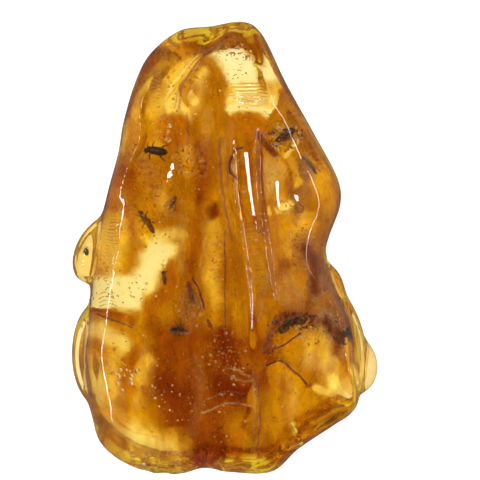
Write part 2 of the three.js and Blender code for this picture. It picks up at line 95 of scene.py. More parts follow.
# Each fold: its path as (y, x), its width, how far it stands up and how flat its top is, from 2 for round
FOLDS = {
    "middle skirt": ([(19, 1.6), (11, 2), (1, 3), (-9, 4.2), (-17, 4.6)], 6.5, 1.9, 2),
    "middle ridge": ([(17, 2.2), (11, 2.4), (6, 2.6), (1, 3.4), (-5, 4.2), (-11, 4.3)], 1.3, 0.65, 5),
    "groove left of it": ([(13, -0.6), (6, -0.1), (2, 0.8), (-3, 1.3), (-8, 1.1)], 1.3, -0.28, 2),
    "groove right of it": ([(15, 4.9), (8, 5.3), (3, 6.1), (-2, 6.8), (-7, 7.2)], 1.5, -0.4, 2),
    "second ridge": ([(14, -2.4), (8, -2.4), (2, -1.9), (-4, -1.0), (-9, -0.3)], 1.5, 0.18, 2),
    "left groove": ([(14, -4.2), (8, -4.3), (2, -4.1), (-3, -3.5), (-8, -2.8)], 1.8, -0.22, 2),
    "left fold": ([(17, -6.6), (9, -7.4), (1, -9.2), (-6, -10.4)], 2.4, 0.5, 2),
    "left rim": (
        [(20, -6.6), (16, -9.4), (12, -9.3), (8, -11.4), (3, -13.1), (-4, -14.4), (-12, -15), (-17, -14.4)],
        0.8, 0.7, 2,
    ),
    "crown crease": ([(24.6, 0.9), (22.5, -1.6), (20, -3.9), (16, -6.2)], 1.1, -0.7, 2),
    "crown ridge": ([(22, 0.6), (18, -2.4), (14, -3.2)], 1.8, 0.4, 2),
    "right rim": ([(23, 3.6), (18, 6.3), (13, 8.8), (8, 11.7)], 0.8, 0.7, 2),
    "right lower fold": ([(0, 8.6), (-5, 10.2), (-10, 11.8)], 1.7, 0.6, 2),
}
# Each swelling: its middle, how far it spreads and how far it stands up
BOSSES = {
    "shoulder": ((9.8, 5.8), 3.0, 0.9),
    "belly": ((-7.6, -16.6), 5.2, 0.9),
    "waist hollow": ((8.6, -0.6), 2.6, -0.7),
    "crown knob": ((-3.3, 16.8), 1.7, 0.4),
    "shoulder knob": ((9.1, 8.6), 1.0, 0.36),
}
# Each flat face: a point on it and its outward direction
FACETS = {
    "clear window": ((3.0, 18.4, 16.4), (0.1, 0.45, 0.89)),
    "lower right": ((7.8, -18.0, 15.4), (0.36, -0.42, 0.83)),
    "right ledge": ((10.6, -13.6, 16.6), (0.5, -0.1, 0.86)),
    "lower edge": ((3.6, -22.6, 14.4), (0.06, -0.62, 0.78)),
}


def along(points, y):
    """A smooth value at y along a list of (y, value) points."""
    ys, values = np.array(sorted(points), float).T
    ends = np.arange(len(ys))
    before, after = np.maximum(ends - 1, 0), np.minimum(ends + 1, len(ys) - 1)
    slopes = (values[after] - values[before]) / (ys[after] - ys[before])
    y = np.clip(y, ys[0], ys[-1])
    i = np.clip(np.searchsorted(ys, y, side="right") - 1, 0, len(ys) - 2)
    span = ys[i + 1] - ys[i]
    t = (y - ys[i]) / span
    rise = values[i + 1] - values[i]
    start, end = slopes[i] * span, slopes[i + 1] * span
    return values[i] + start * t + (3 * rise - 2 * start - end) * t**2 + (start + end - 2 * rise) * t**3


def smooth_curve(points, closed, steps=6):
    """Points along a smooth curve that passes through the given ones."""
    points = np.array(points, float)
    if not closed:
        points = np.concatenate([2 * points[:1] - points[1:2], points, 2 * points[-1:] - points[-2:-1]])
    before, after, later = (np.roll(points, shift, axis=0) for shift in (1, -1, -2))
    start, end = (after - before) / 2, (later - points) / 2
    curve = []
    for t in np.arange(steps) / steps:
        bend = (3 * (after - points) - 2 * start - end) * t**2 + (start + end - 2 * (after - points)) * t**3
        curve.append(points + start * t + bend)
    curve = np.stack(curve, 1)
    if closed:
        return curve.reshape(-1, 2)
    return np.concatenate([curve[1:-2].reshape(-1, 2), points[-2:-1]])


def polar_outline(points):
    """Angles and radii, round the upright axis, of a smooth closed curve through points."""
    x, y = smooth_curve(points, True, 24).T
    angles, radii = np.arctan2(y - AXIS_Y, x - AXIS_X), np.hypot(x - AXIS_X, y - AXIS_Y)
    order = np.argsort(angles)
    return angles[order], radii[order]


outline_angles, outline_radii = polar_outline(OUTLINE)


def outline_share(x, y):
    """How far out a place seen from above is: 0 on the upright axis, 1 on the outline."""
    x, y = x - AXIS_X, y - AXIS_Y
    reach = np.interp(np.arctan2(y, x), outline_angles, outline_radii, period=2 * math.pi)
    return np.hypot(x, y) / reach


def bell(distance, width, flatness=2):
    return np.exp(-(np.abs(distance / width) ** flatness))


def smooth_step(value, low, high):
    t = np.clip((value - low) / (high - low), 0, 1)
    return t * t * (3 - 2 * t)


def front_height(x, y):
    """Height of the front above the waist."""
    height = along(CROWN, y)
    for path, width, rise, flatness in FOLDS.values():
        low, high = min(path)[0], max(path)[0]
        fade = smooth_step(y, low - FOLD_FADE, low + FOLD_FADE)
        fade = fade * (1 - smooth_step(y, high - FOLD_FADE, high + FOLD_FADE))
        height = height + rise * fade * bell(x - along(path, y), width, flatness)
    for (at_x, at_y), spread, rise in BOSSES.values():
        height = height + rise * bell(np.hypot(x - at_x, y - at_y), spread)
    return height


def turned(x, y, degrees):
    """Places turned about the upright axis."""
    c, s = math.cos(math.radians(degrees)), math.sin(math.radians(degrees))
    return x * c - y * s, x * s + y * c


def resin(x, y, z):
    """Below 0 inside the resin, 0 on its surface and above 0 outside."""
    up = z - WAIST
    reach = np.where(up > 0, front_height(x, y), BACK_DEPTH)
    edge = np.where(up > 0, EDGE_FRONT, EDGE_BACK)
    value = (np.sqrt(outline_share(x, y) ** edge + (up / reach) ** 2) - 1) * MASS_SCALE
    total = np.exp(-value / BLEND)
    for (at_x, at_y, at_z), size, turn in LOBES.values():
        across, lengthways = turned(x - at_x, y - at_y, -turn)
        share = np.sqrt((across / size[0]) ** 2 + (lengthways / size[1]) ** 2 + ((z - at_z) / size[2]) ** 2)
        total = total + np.exp(-(share - 1) * min(size) / BLEND)
    value = -BLEND * np.log(total)
    for point, facing in FACETS.values():
        n = Vector(facing).normalized()
        above = n.x * (x - point[0]) + n.y * (y - point[1]) + n.z * (z - point[2])
        value = CRISP * np.logaddexp(value / CRISP, above / CRISP)
    return value


def geodesic_ball(splits):
    """Directions and triangles of an icosahedron with each edge split evenly."""
    seed = bmesh.new()
    bmesh.ops.create_icosphere(seed, subdivisions=1, radius=1)
    corners = np.array([[v.co for v in face.verts] for face in seed.faces])
    seed.free()
    rows = [(i, j) for i in range(splits + 1) for j in range(splits + 1 - i)]
    place = {spot: k for k, spot in enumerate(rows)}
    triangles = []
    for i, j in rows:
        if i + j < splits:
            triangles.append((place[i, j], place[i + 1, j], place[i, j + 1]))
        if i + j < splits - 1:
            triangles.append((place[i + 1, j], place[i + 1, j + 1], place[i, j + 1]))
    weights = np.array(rows) / splits
    weights = np.column_stack([1 - weights.sum(1), weights])
    points = np.einsum("pk,fkc->fpc", weights, corners).reshape(-1, 3)
    shifts = np.arange(len(corners))[:, None, None] * len(rows)
    faces = (np.array(triangles)[None] + shifts).reshape(-1, 3)
    merged, index = np.unique(points.round(6), axis=0, return_inverse=True)
    directions = merged / np.linalg.norm(merged, axis=1)[:, None]
    return directions, index.reshape(-1)[faces]


def nodule_points(directions):
    """Where the resin's surface lies in each direction from its heart, with the back ground flat."""
    facing = np.abs(directions[:, 2:])
    spread = (1 - facing) * np.array(SPREAD_SIDE) + facing * np.array(SPREAD_FRONT)
    directions = np.column_stack([directions[:, :2] * spread, directions[:, 2]])
    directions /= np.linalg.norm(directions, axis=1)[:, None]
    inner, outer = np.zeros(len(directions)), np.full(len(directions), float(FARTHEST))
    for _ in range(HALVINGS):
        middle = (inner + outer) / 2
        x, y, z = directions.T * middle
        inside = resin(x + AXIS_X, y + AXIS_Y, z + HEART_HEIGHT) < 0
        inner, outer = np.where(inside, middle, inner), np.where(inside, outer, middle)
    floor = HEART_HEIGHT / np.maximum(-directions[:, 2], 1e-6)
    return directions * np.minimum(outer, floor)[:, None] + (AXIS_X, AXIS_Y, HEART_HEIGHT)


def mesh_piece(name, points, faces):
    """A new smooth object at the origin from points in metres."""
    mesh = bpy.data.meshes.new(name)
    mesh.from_pydata([tuple(p) for p in points], [], [tuple(f) for f in faces])
    mesh.polygons.foreach_set("use_smooth", [True] * len(mesh.polygons))
    mesh.validate()
    piece = bpy.data.objects.new(name, mesh)
    bpy.context.collection.objects.link(piece)
    return piece


ball_directions, ball_faces = geodesic_ball(BALL_SPLITS)
nodule = nodule_points(ball_directions)
# The solids' box is centred on the origin, so the finer surface is centred there too
nodule_shift = -(nodule.min(0) + nodule.max(0)) / 2 * (1, 1, 0)
copal = mesh_piece("copal_clear", (nodule + nodule_shift) * MM, ball_faces)


def linear(hex_colour):
    """A colour in linear light, with alpha 1, from its sRGB hex value."""
    channels = [int(hex_colour[i : i + 2], 16) / 255 for i in (1, 3, 5)]
    return [c / 12.92 if c <= 0.04045 else ((c + 0.055) / 1.055) ** 2.4 for c in channels] + [1]


def add(owner, kind, inputs=None, **settings):
    """Adds a node to a material, a world or a node group.
    An input is linked where its value is a socket, or a node, whose first output is meant."""
    tree = getattr(owner, "node_tree", owner)
    node = tree.nodes.new(kind)
    for name, value in settings.items():
        setattr(node, name, value)
    for key, value in (inputs or {}).items():
        if isinstance(value, bpy.types.Node):
            value = value.outputs[0]
        if isinstance(value, bpy.types.NodeSocket):
            tree.links.new(value, node.inputs[key])
        else:
            node.inputs[key].default_value = value
    return node


def new_material(name):
    """An empty material with nodes."""
    material = bpy.data.materials.new(name)
    material.use_nodes = True
    material.node_tree.nodes.clear()
    return material


# The polish left marks in the skin: fine ripples like a comb's where a flow wrinkled, and chips at the foot.
# Each patch: its middle, its half sizes and its softness
MARKS = {
    "rippled": {
        "left comb": ((-12.3, 0.4), (1.1, 3.2), 0.5),
        "crown comb": ((-7.6, 17.6), (0.9, 1.2), 0.5),
        "window comb": ((2.6, 16.8), (2.3, 1.7), 0.6),
    },
    "chipped": {"foot": ((-6.5, -24.3), (6.5, 1.6), 1.0)},
}
# Only the front and its rim are marked
MARKED_ABOVE = WAIST - 3
CHIP_DEPTH, CHIP_SIZE, CHIP_EDGE = 0.7, 1.3, 0.75
RIPPLE_SPACING, RIPPLE_HEIGHT = 0.38 * MM, 0.09 * MM


def marked(patches, x, y):
    """How strongly each place is marked, from 0 to 1."""
    mark = np.zeros(len(x))
    for (at_x, at_y), (half_x, half_y), softness in patches.values():
        share = np.hypot((x - at_x) / half_x, (y - at_y) / half_y)
        mark = np.maximum(mark, 1 - smooth_step(share, 1 - softness, 1))
    return mark


marks = {
    label: marked(patches, *nodule[:, :2].T) * (nodule[:, 2] > MARKED_ABOVE)
    for label, patches in MARKS.items()
}
for label, strength in marks.items():
    copal.data.attributes.new(label, "FLOAT", "POINT").data.foreach_set("value", strength)
chips = np.array([
    strength * (CHIP_EDGE - noise.voronoi(place / CHIP_SIZE)[0][0]) if strength > 0 else 0.0
    for strength, place in zip(marks["chipped"], nodule)
])
nodule -= (CHIP_DEPTH * np.maximum(chips, 0) * (1 - ball_directions[:, 2] ** 2))[:, None] * ball_directions
copal.data.vertices.foreach_set("co", ((nodule + nodule_shift) * MM).ravel())

# Each metre of resin takes this much of red, green and blue light, up to the most that the shader can take
SWALLOWED = (2, 6.5, 58)
MOST_SWALLOWED = 80


def polished_copal():
    """Polished copal: clear resin that swallows blue first, then green, so depth turns it to honey.
    The soft wheel leaves it faintly wavy, and it keeps the ripples and chips that the polish missed."""
    material = new_material("polished_copal")
    place = add(material, "ShaderNodeTexCoord").outputs["Object"]
    waves = add(material, "ShaderNodeTexNoise", {"Vector": place, "Scale": 1 / (2.6 * MM), "Detail": 2})
    wavy = add(material, "ShaderNodeBump", {"Height": waves, "Strength": 1.0, "Distance": 0.045 * MM})
    # The wave texture's own bands lie 0.31 apart at a scale of 1
    comb = add(material, "ShaderNodeTexWave", {
        "Vector": place, "Scale": 0.31 / RIPPLE_SPACING, "Distortion": 2.2, "Detail": 2, "Detail Scale": 0.8,
    }, bands_direction="Y")
    rippled = add(material, "ShaderNodeAttribute", attribute_name="rippled")
    combed = add(material, "ShaderNodeMath", {0: comb, 1: rippled.outputs["Fac"]}, operation="MULTIPLY")
    rippling = add(material, "ShaderNodeBump", {
        "Height": combed, "Strength": 1.0, "Distance": RIPPLE_HEIGHT, "Normal": wavy,
    })
    chip_cells = add(material, "ShaderNodeTexVoronoi", {"Vector": place, "Scale": 1 / (1.1 * MM)})
    chipped = add(material, "ShaderNodeAttribute", attribute_name="chipped")
    broken = add(material, "ShaderNodeMath", {
        0: chip_cells.outputs["Distance"], 1: chipped.outputs["Fac"],
    }, operation="MULTIPLY")
    relief = add(material, "ShaderNodeBump", {
        "Height": broken, "Strength": 1.0, "Distance": 0.35 * MM, "Normal": rippling,
    })
    shader = add(material, "ShaderNodeBsdfPrincipled", {
        "Base Color": (1, 1, 1, 1), "Roughness": 0.02, "IOR": 1.54, "Transmission Weight": 1,
        "Normal": relief,
    })
    depth = add(material, "ShaderNodeVolumeAbsorption", {
        "Color": [1 - part / MOST_SWALLOWED for part in SWALLOWED] + [1], "Density": MOST_SWALLOWED,
    })
    add(material, "ShaderNodeOutputMaterial", {"Surface": shader, "Volume": depth})
    return material


copal.data.materials.append(polished_copal())
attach(copal, "root")
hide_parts("copal_front", "copal_back")

# Flow skins are the dried surfaces of earlier flows of resin, now sealed inside. They are thin cloudy sheets
# of dust, stain and tiny bubbles, see-through where the resin dried clean, and closed all round. Stains are
# painted in the order of the list; places are in millimetres as seen from the front. A few entries are
# painted light instead: pale rims, a highlight and soft sheens.
# Mauve is a dusky tint; on the right-facing flanks it also stands in for a soft painted sheen.
TINTS = {
    "honey": "#E9AE0C", "gold": "#FACE58", "amber": "#D5980A", "rust": "#B66204", "ember": "#984002",
    "straw": "#FFE492", "milk": "#E6B878", "mauve": "#B9815A", "lemon": "#FAD648", "orange": "#D48908",
    "clear": "#FFF3B4",
}
# Each stain: tint, cloudiness, half width of its brush (none for a filled outline), softness and points
STAINS_AND_PAINTED_LIGHT = {
    "body": ("amber", 0.85, None, 1, [(-20, -27), (-20, 27), (20, 27), (20, -27)]),
    "lower left ground": ("honey", 0.8, 3.6, 3, [(-13, -9), (-12.5, -15), (-12, -19)]),
    "lower right ground": ("amber", 0.85, 3.4, 3, [(9, -9), (8.4, -14), (6.4, -20)]),
    "left middle ground": ("honey", 0.8, 2.6, 3, [(-11.6, 3), (-9, -1), (-11, -6)]),
    "right middle ground": ("honey", 0.8, 2.2, 3, [(6.8, 10), (6.6, 4), (6.8, -3)]),
    "top ground": ("amber", 0.8, 5.5, 3, [(-6, 20), (-1, 21), (3, 19)]),
    "upper left wash": ("gold", 0.7, 1.6, 2.4, [(-4.5, 20.5), (-7, 15.6), (-8.4, 12)]),
    "upper left edge": ("amber", 0.8, 0.9, 1.6, [(-8.2, 19.6), (-9.6, 17), (-10.4, 14.6)]),
    "top straw": ("straw", 0.55, 0.9, 1.2, [(-6, 22.9), (-4.5, 23.8), (-2.3, 24.2), (1, 24.6), (3.2, 24.2)]),
    "top brown chip": ("rust", 0.85, 0.3, 0.3, [(-5.5, 23.7), (-4.5, 24)]),
    "crown fold shade": ("amber", 0.88, 0.5, 0.9, [(0.6, 23.6), (-2.2, 21.4), (-4.6, 19)]),
    "top right amber": ("amber", 0.85, 0.6, 1.2, [(2.6, 22.8), (3.9, 21.6)]),
    "straw cloud": ("straw", 0.5, 1.0, 1.3, [(-2.6, 20), (-4.2, 18.4), (-5.8, 16), (-4.5, 14.8)]),
    "left of window": ("amber", 0.85, 0.5, 0.9, [(-1, 19.4), (-0.8, 17.6), (-0.6, 16)]),
    "left outer straw": ("straw", 0.55, 0.9, 1.2, [(-10.9, 13.8), (-11.4, 11.6), (-11.9, 9.8)]),
    "left shoulder": ("honey", 0.8, 1.2, 1.4, [(-8.8, 13.5), (-8.8, 11.8)]),
    "orange patch": ("orange", 0.9, None, 0.7, [(-7.3, 14.5), (-4.2, 14.6), (-4.0, 11), (-6.2, 10.9),
                     (-7.4, 12)]),
    "swirl ground": ("honey", 0.75, 1.2, 1.4, [(-4.4, 10.4), (-3.2, 8.6)]),
    "middle shade": ("rust", 0.8, 0.8, 2.0, [(-2.2, 11), (-2.2, 8), (-2.6, 5.6)]),
    "left rust ground": ("orange", 0.85, 1.2, 2.2, [(-10.6, 8.8), (-11.4, 6), (-12, 4.4)]),
    "left rust": ("rust", 0.8, 0.4, 1.6, [(-10.4, 8.4), (-10.8, 6.8)]),
    "left middle honey": ("honey", 0.8, 1.2, 1.6, [(-8.6, 7.6), (-7.4, 5.4)]),
    "left comb ground": ("gold", 0.7, 1.6, 1.4, [(-12.2, 2.2), (-12.4, -1.2)]),
    "right side wash": ("amber", 0.85, 1.6, 2, [(6.6, 18), (8.2, 14.4), (10.2, 10), (11.4, 5)]),
    "shoulder glow": ("honey", 0.75, 1.2, 1.6, [(10.2, 8.4), (10.8, 5.6)]),
    # Partly a mauve stain, partly a painted soft sheen on the shoulder's flank.
    "shoulder stain and sheen": ("mauve", 0.75, 0.9, 1.8, [(8.2, 8.6), (8, 6), (8, 3.4)]),
    "right milk": ("milk", 0.75, 1.2, 1.8, [(5.2, 8.8), (5, 6.4)]),
    "right waist milk": ("milk", 0.75, 0.7, 2.6, [(6.6, -3.4), (7.6, -4.6), (7.2, -6.2)]),
    "right waist gold": ("gold", 0.7, 0.8, 1.2, [(9, 3.4), (8.6, 1.4)]),
    "right waist beige": ("milk", 0.75, 1.0, 1.8, [(8.2, 0.8), (8.2, -1.4)]),
    # The right flank's mauve is partly stain and partly a painted soft sheen.
    "right mauve": ("mauve", 0.88, 0.9, 2.4, [(9, 0.2), (9.8, -2.4), (10, -5), (9.4, -7)]),
    "right lower mauve": ("mauve", 0.88, 1.3, 1.4, [(11.6, -7.2), (12.6, -9), (12.8, -10.8)]),
    "soft brown spot": ("rust", 0.85, 0.5, 1.2, [(6.8, -1.6), (6.6, -2.8)]),
    "gold column": ("gold", 0.65, 0.6, 2.2, [(-1.3, 2.4), (-0.9, 0), (-1.3, -2.6), (-0.7, -5.6)]),
    "column shade": ("rust", 0.8, 0.4, 2.0, [(-3.5, 3.4), (-3.2, 0.6), (-3.5, -2.4)]),
    "clear window": ("clear", 0.03, None, 1.3, [(-0.5, 22), (1.6, 23.2), (2.1, 21.8), (4, 19.9),
                     (4.4, 18.2), (4.5, 16.3), (4.6, 14.6), (2.8, 14.9), (0.4, 14.6), (0.5, 15.8),
                     (0.4, 18.1), (-0.2, 20.1), (-1, 21.1)]),
    "window ripple ground": ("gold", 0.5, 0.7, 0.8, [(0.8, 17.3), (4.4, 17.6)]),
    "window lower ripple": ("gold", 0.35, 0.35, 0.5, [(0.7, 15.9), (2.6, 16), (4.8, 16.2)]),
    "lemon glow": ("lemon", 0.55, 0.5, 1.1, [(-8.9, 1.1), (-8.2, 0.4)]),
    "pale bay": ("straw", 0.5, 0.8, 1.2, [(-7, 1.2), (-5.2, 1.6)]),
    "left clear window": ("clear", 0.03, None, 1.7, [(-15.4, -4.6), (-13.6, -3.3), (-11.1, -3), (-9.9, -2.6),
                          (-9.4, -1.4), (-9, -0.2), (-7.5, 0.7), (-5.3, 0.1), (-5.6, -0.9), (-6.7, -2),
                          (-7.1, -3), (-7.2, -4.4), (-8.6, -5.1), (-9.1, -5.8), (-9.4, -6.9), (-11.6, -7),
                          (-15.2, -6.8)]),
    "beside window": ("orange", 0.88, 0.7, 1.0, [(-5.8, -2), (-6.2, -4.6), (-7.8, -6.4), (-8, -8)]),
    "ledge band": ("orange", 0.88, 0.42, 0.3, [(-14.4, -6.9), (-13, -7.2), (-11.4, -7.7), (-10.2, -8.1)]),
    "ledge tip": ("rust", 0.85, 0.2, 0.25, [(-14.3, -6.8), (-13.2, -7.1)]),
    "below ledge straw": ("straw", 0.4, 1.1, 1.4, [(-13.6, -9), (-12.6, -10), (-11.4, -10.6)]),
    "lower left wash": ("gold", 0.8, 1.2, 2.6, [(-12.6, -12.4), (-12.8, -16.4)]),
    "lower left orange": ("orange", 0.88, 1.0, 1.2, [(-10, -11.8), (-10.9, -13.4), (-10.6, -15.2)]),
    "lower left cloud": ("straw", 0.5, 0.35, 0.7, [(-12, -10.8), (-11, -10.9)]),
    "ember belt": ("rust", 0.92, 1.0, 3.4, [(-7.4, -9.4), (-5, -9.8), (-2.4, -9.8), (1, -10.4),
                   (3.4, -10.8)]),
    "deep brown": ("rust", 0.95, 3.2, 3.4, [(-5, -12), (-4.8, -15), (-4.4, -17.6)]),
    "deep brown right": ("rust", 0.95, 2.0, 3.2, [(0.4, -12), (0.6, -15), (0.2, -17)]),
    "lower left glow": ("gold", 0.7, 0.8, 1.0, [(-8.5, -12.4), (-9.4, -14.4)]),
    "deep heart": ("ember", 0.88, 1.2, 2.4, [(-6.2, -15.4), (-4.8, -16.8), (-4.6, -18)]),
    "granular ember": ("ember", 0.9, 1.2, 1.6, [(0, -9.8), (0.6, -12.4)]),
    "lower middle ember": ("ember", 0.88, 1.0, 1.8, [(-0.4, -14.8), (0.8, -15.8), (2, -15.4)]),
    "lower middle rust": ("rust", 0.9, 2.2, 2, [(-2.8, -18.6), (-1.8, -21), (-1.8, -23)]),
    "column right amber": ("amber", 0.9, 0.9, 0.9, [(3.9, -13), (4, -18), (4.1, -24)]),
    "red slit": ("ember", 0.9, 0.3, 0.5, [(2.5, -18), (2.2, -20)]),
    "orange glow": ("orange", 0.8, 0.6, 0.7, [(1.7, -20.4), (0.9, -22.6)]),
    "beige glow": ("gold", 0.6, 1.7, 2.6, [(-11.4, -20.2), (-9, -22), (-6, -22.4)]),
    "beige heart": ("straw", 0.5, 1.3, 2.4, [(-10.4, -20.8), (-8.6, -22.4), (-6.6, -23)]),
    # Painted light: the pale straw rims along the lower left and the foot stand in for light shining through
    # the thin edge.
    "lower left rim": ("straw", 0.5, 0.8, 1.4, [(-14.2, -13), (-13.8, -17.4), (-12.8, -20), (-11.4, -22)]),
    "foot rim": ("straw", 0.5, 0.5, 1.0, [(-11.6, -22.6), (-9, -24), (-6, -24.4), (-3, -24.2),
                 (0.5, -24.2)]),
    "right foot rim": ("straw", 0.5, 0.8, 1.2, [(1, -24.2), (5, -24.2), (8, -22), (11.6, -19.8),
                       (13.4, -18)]),
    "olive shade": ("rust", 0.9, 1.1, 1.6, [(3.6, -10.4), (4.4, -12.2), (4.2, -14.6)]),
    "right ledge wash": ("gold", 0.65, 1.6, 2, [(9.4, -10.4), (12, -12.4), (12.4, -15)]),
    "gold tongue": ("honey", 0.75, 0.8, 0.9, [(5.8, -9.6), (7.4, -10.4), (7.6, -11.8)]),
    "beige shelf": ("milk", 0.65, 0.8, 1.4, [(9.4, -12.4), (11.4, -13.4)]),
    "gold facet": ("honey", 0.85, None, 0.4, [(5, -12.9), (6.8, -12.9), (9.4, -15.3), (10.6, -17),
                   (10, -19.6), (8.2, -20.4), (6, -19), (5, -16)]),
    "facet lower wash": ("honey", 0.8, 0.8, 1, [(6, -20), (6.4, -23)]),
    "facet edge": ("rust", 0.88, 0.14, 0.25, [(4.6, -12.8), (6.2, -12.5), (7.4, -13.3), (8.8, -15),
                   (9.8, -15.2)]),
    "second facet": ("lemon", 0.4, 0.35, 0.4, [(10, -15.4), (11.6, -16)]),
    "right pale gold": ("straw", 0.55, 0.9, 1.2, [(12.2, -14.8), (13.2, -16.4)]),
    "pale streak": ("straw", 0.2, 0.3, 0.5, [(7.4, -19.4), (8.4, -21.2)]),
    "crack": ("rust", 0.85, 0.1, 0.2, [(7.9, -20), (9.2, -21.2)]),
    "bright facet": ("lemon", 0.35, None, 0.3, [(6.5, 10.2), (7.9, 11.9), (8.3, 11.2), (7, 9.8)]),
    "facet line": ("rust", 0.88, 0.1, 0.2, [(6.1, 10.4), (6.9, 8.6), (7.7, 6.6)]),
    "beside facet line": ("gold", 0.6, 0.5, 0.5, [(7.4, 9.4), (8.2, 7)]),
    "ridge shade": ("rust", 0.93, 0.9, 1.5, [(3.2, 11.4), (3.6, 7), (4, 2.8)]),
    "below window": ("orange", 0.92, 1.2, 1.2, [(1, 13.2), (3.8, 13.4)]),
    "red patch": ("ember", 0.92, None, 0.8, [(-1.7, 3.1), (-1.5, 4.3), (-0.8, 4.8), (-0.5, 3.9), (-1, 2.9)]),
    # Painted highlight: a soft pale patch where a bubble's ring catches the light.
    "ring highlight": ("straw", 0.35, 0.4, 0.5, [(5.8, 4), (7.2, 5)]),
    "bark smoke": ("rust", 0.88, 0.6, 1.2, [(9.6, -8), (6.8, -7.6), (5.2, -9), (4.2, -11)]),
}
# How far a stain's edge wanders, and over what length
WARP = {"large": (0.45, 2.4), "small": (0.22, 0.8), "fine": (0.1, 0.3)}
# Shifts come from random offsets in the noise, which a fixed seed keeps the same each run
DRIFT_SEED = 7
noise.seed_set(DRIFT_SEED)
STREAK_ACROSS, STREAK_ALONG, STREAK_DEPTH = 1.3, 4.2, 0.42
# Where the streaks' noise is cut, and its smoothness, its step from one scale to the next and its scales
STREAK_SLICE = 0.4
STREAK_NOISE = (0.9, 2.1, 4)
# Deeper streaks lose more blue than red
STREAK_TINT = (0.6, 1.1, 1.6)
BARE_SKIN = 0.9


def distance_to(points, x, y, filled):
    """How far each place is from a line through points, or from their outline and below 0 inside it."""
    points = smooth_curve(points, filled)
    ends = np.roll(points, -1, axis=0) if filled else points[1:]
    starts = points if filled else points[:-1]
    nearest = np.full(x.shape, np.inf)
    inside = np.zeros(x.shape, bool)
    for (ax, ay), (bx, by) in zip(starts, ends):
        run, rise = bx - ax, by - ay
        t = np.clip(((x - ax) * run + (y - ay) * rise) / (run**2 + rise**2), 0, 1)
        nearest = np.minimum(nearest, np.hypot(x - ax - t * run, y - ay - t * rise))
        if ay != by:
            inside ^= ((ay > y) != (by > y)) & (x < ax + run * (y - ay) / rise)
    return np.where(inside, -nearest, nearest) if filled else nearest


def drifted(x, y, share):
    """Places shifted by a share of the gentle noise that makes a stain's edge wander as a flow's does."""
    shift = np.zeros((2, x.size))
    for reach, size in WARP.values():
        for k, (px, py) in enumerate(zip(x, y)):
            swirl = noise.noise_vector((px / size, py / size, size))
            shift[0, k] += swirl.x * reach
            shift[1, k] += swirl.y * reach
    return x + share * shift[0], y + share * shift[1]


def marbled(x, y):
    """How pale or deep a flow dried at each place, round 1, in long streaks down the nodule."""
    streaks = np.array([
        noise.fractal((px / STREAK_ACROSS, py / STREAK_ALONG, STREAK_SLICE), *STREAK_NOISE)
        for px, py in zip(x, y)
    ])
    return 1 + STREAK_DEPTH * np.clip(streaks, -1, 1)


def painted(stains, x, y, drift):
    """The tint and cloudiness that stains, with the painted highlights, sheens and pale rims among them, give
    a skin at each place.
    """
    x, y = drifted(x, y, drift)
    tint = np.full((x.size, 3), BARE_SKIN)
    cloud = np.zeros(x.size)
    for colour, thickness, width, softness, points in stains.values():
        away = distance_to(points, x, y, width is None) - (width or 0)
        share = 1 - smooth_step(away, -softness / 2, softness / 2)
        tint += share[:, None] * (np.array(linear(TINTS[colour])[:3]) - tint)
        cloud += share * (thickness - cloud)
    return tint * marbled(x, y)[:, None] ** STREAK_TINT, cloud


def crown_height(x, y):
    """Height of the resin's front over a place, without the lobes."""
    share = np.minimum(outline_share(x, y), 1)
    height = WAIST + front_height(x, y) * np.sqrt(1 - share**EDGE_FRONT)
    for point, facing in FACETS.values():
        drop = (facing[0] * (x - point[0]) + facing[1] * (y - point[1])) / facing[2]
        height = np.minimum(height, point[2] - drop)
    return height


# The flow's dome is part of an ellipsoid: its half sizes and the height of its middle
FLOW_ACROSS, FLOW_ALONG, FLOW_HIGH, FLOW_CENTRE = 23, 33, 24.4, -8.2


def flow_height(x, y):
    """Height of the dried flow that the insects settled on."""
    return FLOW_CENTRE + FLOW_HIGH * np.sqrt(1 - (x / FLOW_ACROSS) ** 2 - (y / FLOW_ALONG) ** 2)


# A ray that enters copal leaves the upright by about this share of the front's slope
BEND = 0.35
SLOPE_STEP = 0.2


def seen_from_front(x, y, z):
    """Where a place inside the resin seems to lie, because the folded front bends the view of it."""
    seen_x, seen_y = x, y
    for _ in range(3):
        rise_x = crown_height(seen_x + SLOPE_STEP, seen_y) - crown_height(seen_x - SLOPE_STEP, seen_y)
        rise_y = crown_height(seen_x, seen_y + SLOPE_STEP) - crown_height(seen_x, seen_y - SLOPE_STEP)
        slope_x = np.clip(rise_x / (2 * SLOPE_STEP), -1, 1)
        slope_y = np.clip(rise_y / (2 * SLOPE_STEP), -1, 1)
        depth = crown_height(seen_x, seen_y) - z
        seen_x, seen_y = x - BEND * depth * slope_x, y - BEND * depth * slope_y
    return seen_x, seen_y


# How faint and how cloudy a skin may be, how thin its rim is and over what share of the outline it thins,
# and how far its grid reaches either way
FAINTEST, CLOUDIEST = 0.01, 0.98
THINNEST, THINNING = 0.02, 0.05
SKIN_HALF_WIDTH, SKIN_HALF_LENGTH = 18, 26


